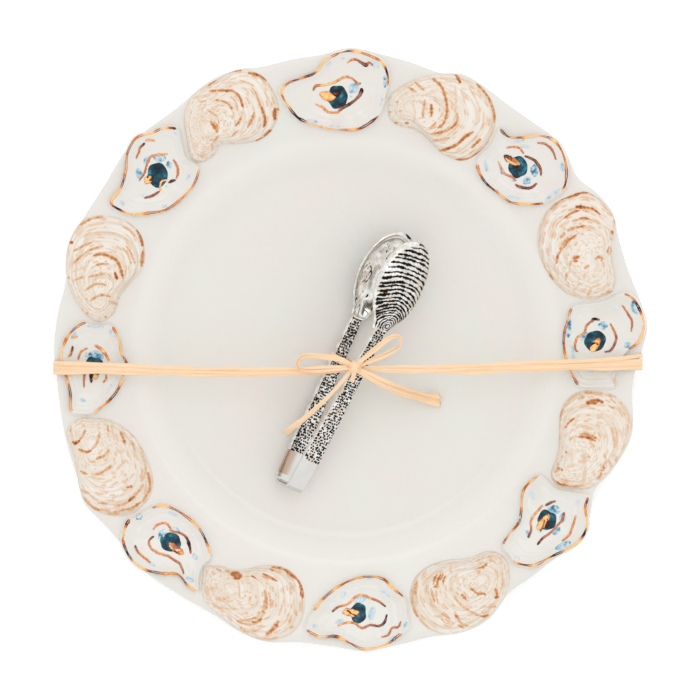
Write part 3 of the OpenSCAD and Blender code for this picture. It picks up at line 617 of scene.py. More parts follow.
# Each point of a stroke has its picture place, its width in pixels and its tone: 0 is pale
# gold with a painted highlight, a half is copper and 1 is nearly black.
strokes = [
    [[(313, 91, 1.2, .5), (316, 86, 2.4, .45), (325, 85, 2, .15), (335, 82, 2, .1), (345, 77, 2.2, .4),
      (352, 78.5, 1.5, .35), (355, 81, 1.5, .6), (358, 84, 2.6, .3), (361, 83, 1.2, .9)],
     [(315, 104, 1, .1), (322, 107, 2, .3), (328, 112, 2, .35), (334, 112.5, 1.6, .2), (338, 112, 2, .4),
      (342, 108, 2.8, .85), (348, 105, 2.8, .9), (354, 101, 2.2, .8), (359, 96, 2.6, .75),
      (361.5, 91, 3.6, .95), (361, 88, 3, 1)],
     [(347, 63, 1, .3), (352, 60, 1.8, .4), (357, 60, 2, .6), (362, 63, 2.4, .7), (366, 65, 3.4, .85),
      (369, 62.5, 1.6, .6), (373, 66, 1.2, .8)],
     [(319, 94, 2.6, .1), (324, 95, 5, .12), (330, 97, 6, .08), (336, 96.5, 3, .1)],
     [(332, 93, 3, 1), (336, 93.5, 5, 1), (341, 92, 3, 1)]],
    [[(506, 148, 1.2, .3), (512, 147, 1.8, .3), (519, 148, 1.8, .4), (524, 154, 1.3, .5)],
     [(524, 156, 1.6, .9), (534, 160, 2.4, .8), (540, 168, 2.4, .85), (541, 176, 1.3, .7)],
     [(498, 161, 1.2, .3), (504, 173, 1.8, .35), (512, 177, 1.8, .5), (516, 181, 1.2, .6)],
     [(515, 184, 1.4, .6), (520, 187, 2.4, .8), (530, 188, 2.4, .85), (537, 183, 1.4, .7)],
     [(537, 143, 1.2, .4), (545, 144, 1.8, .5), (552, 150, 2, .6), (556, 160, 1.2, .5)],
     [(504, 155, 2.6, .9), (509, 159, 4.6, .8), (515, 162, 4, .5), (520, 164.5, 2, .1)],
     [(505, 158, 1.4, .02), (511, 162.5, 2.4, .02), (517, 165, 1.4, .1)]],
    [[(591, 320, 1.6, .9), (595, 319, 2.4, 1), (600, 320, 1.6, .9)],
     [(594, 320, 1.6, .7), (587, 325, 2, .5), (584, 333, 1.8, .35), (577, 338, 1.8, .3),
      (575, 348, 1.8, .5), (578, 352, 1.2, .6)],
     [(610, 323, 1.4, .4), (615, 333, 2, .5), (616, 340, 2, .7), (611, 350, 2, .8), (604, 352, 1.2, .7)],
     [(622, 305, 1.2, .4), (628, 314, 1.8, .5), (632, 322, 1.8, .6), (631, 332, 1.2, .5)],
     [(591, 352, 3, .1), (594, 347, 5, .08), (598, 341, 4, .2), (600, 338, 2, .8)],
     [(590, 347, 1.4, 1), (594, 343, 2, 1), (599, 345, 1.4, .9)]],
    [[(545, 506, 1.6, .7), (550, 503, 2.2, .8), (556, 501, 1.4, .6)],
     [(543, 505, 1.4, .4), (535, 514, 2, .35), (531, 521, 1.8, .3), (531, 530, 1.8, .6),
      (528, 538, 2.4, .95)],
     [(564, 512, 2.6, .8), (562, 520, 2, .6), (556, 527, 1.8, .5), (550, 533, 1.8, .6),
      (543, 538, 2, .8), (537, 545, 1.8, .95)],
     [(576, 515, 1.4, .4), (573, 525, 1.8, .35), (569, 535, 1.8, .4), (562, 541, 1.2, .5)],
     [(537, 530, 2.6, .1), (541, 525, 5, .08), (546, 519, 4.6, .15), (549, 514, 2, .4)],
     [(546, 530, 2, 1), (547.5, 524, 3, 1), (547, 518, 1.6, 1)],
     [(540, 532, 1.1, .8), (543, 526, 1.5, .9), (545, 519, 1.1, .8)]],
    [[(332, 612, 1.8, .95), (338, 607, 1.8, .6), (348, 604, 1.8, .3), (355, 597, 2, .3),
      (362, 595, 2, .3), (370, 598, 2, .4), (378, 601, 2, .6), (386, 607, 1.4, .8)],
     [(337, 626, 1.2, .3), (345, 623, 1.8, .3), (354, 623, 1.8, .4), (362, 628, 2, .5),
      (370, 625, 2, .6), (378, 626, 2, .8), (384, 623, 2.2, .95), (387, 614, 1.4, .9)],
     [(381, 637, 1.2, .4), (388, 635, 1.8, .5), (392, 628, 1.8, .5), (398, 627, 1.8, .6),
      (401, 621, 1.2, .5)],
     [(342, 613, 2.4, .1), (347, 612, 5, .08), (353, 613, 5, .12), (359, 612, 2.6, .3)],
     [(346, 610, 1.6, 1), (351, 613, 2.2, 1), (357, 616, 1.4, .9)]],
    [[(153, 530, 1.2, .4), (157, 525, 1.8, .4), (165, 523, 1.8, .3), (169, 526, 1.8, .4),
      (172, 531, 1.8, .5), (180, 533, 2, .6), (186, 537, 2, .8), (189, 544, 2.6, 1), (191, 554, 1.3, .7)],
     [(154, 536, 1.8, .95), (149, 541, 1.8, .6), (151, 548, 1.8, .4), (158, 553, 2, .35),
      (168, 556, 2, .5), (174, 560, 2, .6), (180, 564, 2, .6), (184, 574, 1.3, .7)],
     [(135, 545, 1.8, .95), (138, 552, 1.8, .5), (146, 559, 1.8, .4), (151, 563, 1.2, .5)],
     [(169, 543, 2.4, .25), (174, 547, 5, .8), (179, 551, 4.6, .6), (184, 554, 2.4, .15)],
     [(169, 545.5, 1.4, .05), (175, 550, 2.4, .02), (181, 550, 1.6, .1)]],
    [[(94, 345, 1.8, .3), (101, 349, 2.8, .3), (106, 355, 2.6, .3), (109, 361, 1.6, .4)],
     [(88, 348, 1.3, .4), (81, 352, 1.8, .4), (78, 360, 1.3, .5)],
     [(106, 374, 1.4, .4), (106, 379, 1.8, .4), (103, 383, 1.2, .5)],
     [(85, 373, 1.4, .5), (84, 380, 1.8, .5), (84, 388, 1.2, .5)],
     [(73, 346, 2, .95), (71, 354, 1.8, .5), (68, 357, 1.2, .4)],
     [(94, 374, 2.4, .1), (95.5, 377, 4.6, .08), (96, 380, 2.4, .3)],
     [(91, 373, 2, 1), (91, 378, 2.6, 1), (91.5, 383, 1.4, 1)],
     [(72, 337, 1.4, .2), (75, 337, 2, .2), (78, 337, 1.4, .3)]],
    [[(168, 154, 1.3, .3), (160, 155, 1.8, .3), (152, 156, 1.8, .35), (148, 161, 1.8, .4),
      (146, 168, 1.8, .5), (144, 174, 1.8, .6), (139, 181, 1.2, .5)],
     [(173, 159, 1.3, .4), (177, 166, 2, .4), (178, 173, 2, .5), (176, 179, 1.3, .5)],
     [(168, 183, 1.3, .9), (172, 181, 2.4, .95), (176, 180, 1.4, .9)],
     [(168, 180, 1.3, .1), (162, 181, 1.8, .1), (160, 187, 1.6, .2), (161, 191, 1.2, .3)],
     [(160, 191, 1.4, .7), (152, 196, 2.2, .75), (144, 198, 1.4, .8)],
     [(145, 143, 2, .95), (140, 148, 1.8, .6), (139, 152, 1.8, .5), (136, 159, 1.3, .5)],
     [(145, 141, 1.2, .2), (150, 140, 1.8, .2), (155, 141, 1.2, .3)],
     [(145, 184, 2.4, .1), (148, 180, 5, .08), (151, 176, 3.6, .2)],
     [(147, 176, 1.4, 1), (150, 180, 2.2, 1), (153, 177, 1.4, 1)]]
]
eye_sizes_px = [(10.2, 11.8), (9.6, 10.9), (10.9, 10.4), (9.5, 10.0),
                (8.0, 10.3), (10.6, 9.6), (9.2, 10.2), (10.4, 12.3)]
eye_middles_px = [(337.5, 97), (518, 167), (595, 341), (547, 520), (358.5, 613), (170.5, 542),
                  (94, 366), (157.5, 175)]
paint_lift = 0.09
paint_sink = 0.12
paint_low_share = 0.66
# The palest tone is a painted highlight on the gold.
lustre_tones = [(0.0, (1.0, 0.64, 0.29)), (0.12, (0.95, 0.46, 0.13)), (0.25, (0.74, 0.26, 0.045)),
                (0.42, (0.52, 0.15, 0.03)), (0.62, (0.30, 0.085, 0.032)),
                (0.8, (0.085, 0.026, 0.013)), (1.0, (0.018, 0.008, 0.005))]
lustre_rose = (0.62, 0.25, 0.19)
eye_tones = [(0.0, (0.001, 0.007, 0.013)), (0.45, (0.003, 0.044, 0.070)), (0.75, (0.010, 0.125, 0.170)),
             (1.0, (0.06, 0.28, 0.36))]
wash_tones = [(0.0, (0.76, 0.78, 0.77)), (0.4, (0.46, 0.62, 0.72)), (0.68, (0.18, 0.40, 0.54)),
              (0.95, (0.02, 0.13, 0.20))]
lustre_scale, rose_scale, wash_scale, eye_scale = 1400, 420, 330, 260
lustre_uneven, lustre_shift = 0.22, -0.1


def ramp(tree, value, tones):
    """The colour of a value on a scale of colours."""
    made = node(tree, "ShaderNodeValToRGB", {"Fac": value})
    stops = made.color_ramp.elements
    while len(stops) < len(tones):
        stops.new(0.5)
    for stop, (place, colour) in zip(stops, tones):
        stop.position = place
        stop.color = (*colour, 1)
    return made.outputs["Color"]


def lustre():
    """Gold lustre that turns copper and then nearly black where it is thick, rosy in places. Its
    palest tone is a painted highlight.
    """
    material, tree, shader = new_finish("gold_lustre", Metallic=0.3, Roughness=0.24, Specular_IOR_Level=0.2)
    uneven = reckon(tree, "MULTIPLY_ADD", noise(tree, lustre_scale, 2), lustre_uneven, lustre_shift)
    varied = reckon(tree, "ADD", attribute(tree, "tone"), uneven)
    rosy = reckon(tree, "MULTIPLY", attribute(tree, "rosy"), noise(tree, rose_scale, 2))
    colour = mixed(tree, rosy, ramp(tree, varied, lustre_tones), lustre_rose)
    tree.links.new(colour, shader.inputs["Base Color"])
    return material


def blue_wash():
    """Thin blue, which fades to the white of the glaze."""
    material, tree, shader = new_finish("pale_blue_wash", Roughness=0.14, Coat_Weight=0.4,
                                        Coat_Roughness=0.06)
    streaks = reckon(tree, "MULTIPLY", attribute(tree, "tone"), noise(tree, wash_scale, 2, 0.3, 0.66))
    tree.links.new(ramp(tree, streaks, wash_tones), shader.inputs["Base Color"])
    return material


def eye_blue():
    """Deep glossy blue with turquoise clouds."""
    material, tree, shader = new_finish("deep_blue_glaze", Roughness=0.12, Specular_IOR_Level=0.3)
    tree.links.new(ramp(tree, noise(tree, eye_scale, 3, 0.3, 0.72), eye_tones), shader.inputs["Base Color"])
    return material


paints = [lustre(), eye_blue(), blue_wash()]
gold, blue, pale = range(3)
stroke_offsets = np.array([-1, -0.75, -0.3, 0.3, 0.75, 1])
stroke_crown = np.array([0.25, 0.85, 1, 1, 0.85, 0.25])
stroke_border = np.array([0.36, 0.18, -0.08, -0.08, 0.12, 0.3])
stroke_step, stroke_least = 0.8, 6
taper_reach, taper_room, taper_least = 1.1, 0.05, 0.05
width_waver, path_waver, tone_waver, tone_power = 0.16, 0.12, 0.14, 1.5
wave_mm, border_wave_mm = 2, 3
lip_foot_share = 0.98


def painted_top(shell, xy):
    """The height of the shell's surface for paint, which stays on the upper part of the lip's side."""
    top = shell.top(xy)
    side_low = rim_at(xy) + seat_gap + paint_low_share * lip_h
    return np.where(shell.find(xy)[0] > lip_foot_share, np.maximum(top, side_low), top)


def unit(v):
    """Directions, each made 1 long."""
    return v / np.maximum(np.linalg.norm(v, axis=-1, keepdims=True), 1e-9)


def travelled(line):
    """How far along a line each of its points lies."""
    return np.concatenate([[0], np.cumsum(np.linalg.norm(np.diff(line, axis=0), axis=1))])


def capped_tube(rings, sides):
    """Faces of a tube that is closed at both ends."""
    last = (rings - 1) * sides
    return tube_faces(rings, sides) + [list(range(sides)), list(range(last, last + sides))]


def joined(parts):
    """Several closed meshes as one: its points, its faces and the numbers of its points."""
    points, faces, start = [], [], 0
    for part_points, part_faces, _ in parts:
        points.append(part_points)
        faces += [[v + start for v in face] for face in part_faces]
        start += len(part_points)
    numbers = {key: np.concatenate([given[key] for _, _, given in parts]) for key in parts[0][2]}
    return np.concatenate(points), faces, numbers


def brush_line(shell, stroke, seed, whole=False, spread=1.0, lift=0.0, rose=0.0, border=1.0):
    """A thin stroke of paint that lies on the shell, with tapered ends, uneven edges and a darker
    border: its points, faces, and how dark and how rosy it is. A whole one keeps its own points."""
    line = np.asarray(stroke, float)
    if not whole:
        line = smooth_line(line, max(stroke_least, int(travelled(line[:, :2])[-1] / stroke_step)))
    xy = plan(line[:, :2])
    ahead = unit(np.gradient(xy, axis=0))
    side = np.column_stack([-ahead[:, 1], ahead[:, 0]])
    travel = travelled(xy)
    to_end = np.minimum(travel, travel[-1] - travel)
    half = spread * line[:, 2] / 2 * mm_per_px
    taper = np.sqrt(np.clip(to_end / (taper_reach * half + taper_room), 0, 1))
    taper = taper * (1 - taper_least) + taper_least
    half = half * taper * (1 + width_waver * waves(travel / wave_mm, seed, 5, 1, 7))
    xy = xy + side * (path_waver * waves(travel / wave_mm, seed + 1, 5, 1, 6))[:, None]
    tops = xy[:, None] + side[:, None] * (stroke_offsets[None] * half[:, None])[..., None]
    lows = tops[:, ::-1]
    up = painted_top(shell, tops) + lift + paint_lift * stroke_crown * taper[:, None]
    down = painted_top(shell, lows) - paint_sink
    points = np.concatenate([np.dstack([tops, up]), np.dstack([lows, down])], 1).reshape(-1, 3)
    leaning = tone_waver * stroke_offsets[None] * waves(travel / border_wave_mm, seed + 2, 5, 1, 5)[:, None]
    across = border * (stroke_border[None] + leaning)
    along = line[:, 3:4]
    if not whole:
        along = along.clip(0) ** tone_power + tone_waver * waves(travel / wave_mm, seed + 3, 4, 1, 5)[:, None]
    tone = np.clip(along + np.concatenate([across, across[:, ::-1]], 1), 0, 1).reshape(-1)
    faces = capped_tube(len(xy), 2 * len(stroke_offsets))
    return points, faces, {"tone": tone, "rosy": rose * 4 * tone * (1 - tone)}


eye_turns, eye_uneven = 48, 0.09
eye_shares = np.array([1, 0.96, 0.8, 0.55, 0.3])
eye_lifts = [0.2, 0.9, 1, 1, 1]


def eye_patch(shell, middle_px, size_px, seed):
    """The glossy blue scar: a rounded patch with an uneven edge that lies on the shell."""
    turn = np.linspace(0, 2 * np.pi, eye_turns, endpoint=False)
    reach = 1 + eye_uneven * waves(turn, seed, 5, 2, 6)
    edge = np.column_stack([np.cos(turn) * size_px[0], np.sin(turn) * size_px[1]]) * reach[:, None]
    rings = [plan(np.array(middle_px) + edge * s) for s in eye_shares]
    middle = plan(np.array([middle_px], float))
    places = [np.concatenate(rings), middle, rings[0], rings[3], middle]
    lifts = [paint_lift * np.repeat(eye_lifts, eye_turns), paint_lift, -paint_sink, -paint_sink, -paint_sink]
    points = np.concatenate([np.column_stack([xy, shell.top(xy) + lift]) for xy, lift in zip(places, lifts)])
    n = len(eye_shares) * eye_turns
    low = n + 1
    faces = tube_faces(len(eye_shares), eye_turns) + fan_faces(n - eye_turns, eye_turns, n)
    faces += tube_faces(2, eye_turns, low) + fan_faces(low + eye_turns, eye_turns, low + 2 * eye_turns)
    faces += joining_faces(0, low, eye_turns)
    return points, faces, {"tone": np.zeros(len(points)), "rosy": np.zeros(len(points))}


lip_line_share, lip_line_steps, lip_run_least = 0.978, 12, 6
lip_line_px, lip_line_waver, lip_line_range = 2.5, 0.9, (1.4, 4.2)
lip_tone, lip_tone_waver, lip_tone_flicker, lip_tone_range = 0.27, 0.62, 0.38, (0.0, 0.95)


def lip_lines(i):
    """The gold line along the lip, with its gaps, as strokes."""
    outline = np.asarray(open_px[i], float)
    m = len(outline)
    count = m * lip_line_steps
    line = smooth_loop(outline, count)
    eye = np.array(open_eyes_px[i])
    line = eye + (line - eye) * lip_line_share
    index = np.arange(count) / lip_line_steps
    angle = index / m * 2 * np.pi
    phase = np.random.default_rng(300 + i).uniform(0, 2 * np.pi)
    # Where the tone falls to 0, the line shows the painted highlight of the lustre.
    tone = (lip_tone + lip_tone_waver * waves(angle + phase, 310 + i, 6, 3, 12)
            + lip_tone_flicker * waves(angle, 320 + i, 4, 8, 20))
    width = lip_line_px + lip_line_waver * waves(angle, 330 + i, 6, 4, 15)
    whole = np.column_stack([line, np.clip(width, *lip_line_range), np.clip(tone, *lip_tone_range)])
    shown = np.ones(count, bool)
    for start, end in lip_gaps[i]:
        shown &= ~((index >= start) & (index <= end))
    first = int(np.argmin(shown))
    whole, shown = np.roll(whole, -first, 0), np.roll(shown, -first)
    runs = np.split(whole, np.flatnonzero(np.diff(shown)) + 1)
    return [run for run in runs[1::2] if len(run) > lip_run_least]


inner_lift, inner_layer, lip_line_lift = 0.12, 0.02, 0.03
inner_spread, dab_spread, dab_px, wash_spread, wash_swell = 1.2, 1.5, 4, 1.8, 1.2
inner_rose, inner_border, lip_border, wash_border = 0.7, 0.6, 0.12, -1.1


def painted_lines(i):
    shell = open_shells[i]
    made = [(eye_patch(shell, eye_middles_px[i], eye_sizes_px[i], 500 + i), blue)]
    for k, (x0, y0, x1, y1, width, strength) in enumerate(blue_washes[i]):
        wash = [(x0, y0, width, strength), ((x0 + x1) / 2, (y0 + y1) / 2, width * wash_swell, strength),
                (x1, y1, width, strength)]
        made.append((brush_line(shell, wash, 1300 + 20 * i + k, spread=wash_spread,
                                border=wash_border), pale))
    for k, run in enumerate(lip_lines(i)):
        made.append((brush_line(shell, run[::2], 700 + 10 * i + k, whole=True, lift=lip_line_lift,
                                border=lip_border), gold))
    for k, stroke in enumerate(strokes[i]):
        spread = dab_spread if max(p[2] for p in stroke) > dab_px else inner_spread
        made.append((brush_line(shell, stroke, 900 + 20 * i + k, spread=spread, rose=inner_rose,
                                lift=inner_lift + inner_layer * k, border=inner_border), gold))
    points, faces, numbers = joined([part for part, _ in made])
    shades = [paint for part, paint in made for _ in part[1]]
    add_piece(f"open_shell_{i + 1}_painting", points, faces, paints, "plate",
              numbers, shades)


for i in range(8):
    painted_lines(i)


# Closed shells: eight whole oysters between the open ones, domed, cream and less glossy. Their
# growth ridges are brushed with rust-brown slip, which stays in dashes along each ridge.
dome_h = 8.5
edge_h = 0.45
ridge_h = 0.36
ridge_count = 16
closed_turns = 380
closed_rings = np.concatenate([np.linspace(0.02, 0.97, 128), [0.978, 0.985, 0.99, 0.995, 1.0, 1.005, 1.01]])
dome_fall, dome_round, dome_middle, dome_grows = 2.2, 0.78, 0.72, 0.4
ridge_first, ridge_run = 0.1, 0.87
ridge_steps, ridge_thinning = (0.35, 1.65), (1.1, 0.85)
ridge_warp, warp_grows, ridge_wide = 0.024, 0.3, 0.03
ridge_mean, ridge_uneven, ridge_most = 0.55, 0.6, 1.3
crest_in, groove_out, groove_deep = 0.5, 0.6, 0.8
lump_h, lump_grows, relief_fade, dome_sink = 0.34, 0.5, 0.04, 0.12
skirt_share, skirt_wide = 1.01, 0.02
closed_px = [
    [[217, 80], [240, 70], [260, 75], [272, 89], [279, 108], [274, 127], [259, 140], [238, 144],
     [221, 145], [214, 156], [200, 163], [190, 156], [187, 141], [184, 122], [187, 104], [200, 90]],
    [[391, 94], [404, 85], [422, 77], [445, 74], [466, 78], [484, 90], [494, 108], [494, 128],
     [484, 147], [465, 160], [446, 156], [431, 142], [415, 130], [400, 126], [390, 119], [388, 106]],
    [[566, 198], [585, 192], [603, 203], [615, 221], [612, 240], [612, 258], [615, 272], [613, 290],
     [598, 298], [582, 299], [565, 292], [550, 277], [540, 257], [537, 236], [543, 217], [553, 205]],
    [[583, 391], [604, 392], [622, 402], [632, 421], [629, 441], [619, 459], [606, 476], [590, 488],
     [572, 489], [557, 485], [551, 474], [556, 458], [559, 440], [559, 421], [563, 405], [571, 396]],
    [[410, 598], [415, 578], [429, 566], [448, 560], [468, 558], [487, 551], [500, 554], [508, 564],
     [509, 582], [502, 601], [489, 616], [470, 628], [450, 634], [431, 630], [417, 617]],
    [[205, 567], [220, 566], [235, 570], [251, 568], [269, 565], [287, 569], [300, 582], [304, 600],
     [302, 619], [290, 634], [268, 641], [246, 634], [227, 621], [209, 606], [202, 593], [202, 579]],
    [[82, 418], [96, 418], [112, 421], [128, 430], [141, 446], [150, 465], [153, 484], [146, 502],
     [129, 515], [108, 515], [89, 505], [80, 489], [77, 470], [72, 450], [67, 435], [71, 424]],
    [[100, 215], [121, 219], [138, 231], [145, 250], [142, 269], [130, 283], [120, 297], [114, 313],
     [100, 322], [86, 315], [75, 299], [68, 282], [66, 263], [69, 244], [77, 228], [86, 219]]
]
closed_hinges_px = [[207, 130], [408, 108], [593, 264], [575, 460],
                    [484, 578], [228, 588], [90, 442], [99, 296]]
slip_cream = (0.845, 0.765, 0.668)
slip_shade = (0.680, 0.530, 0.380)
slip_pale = (0.875, 0.830, 0.765)
rust_tones = [(0.0, (0.80, 0.49, 0.23)), (0.4, (0.70, 0.33, 0.105)), (0.7, (0.52, 0.18, 0.055)),
              (0.88, (0.31, 0.080, 0.028)), (1.0, (0.15, 0.036, 0.015))]

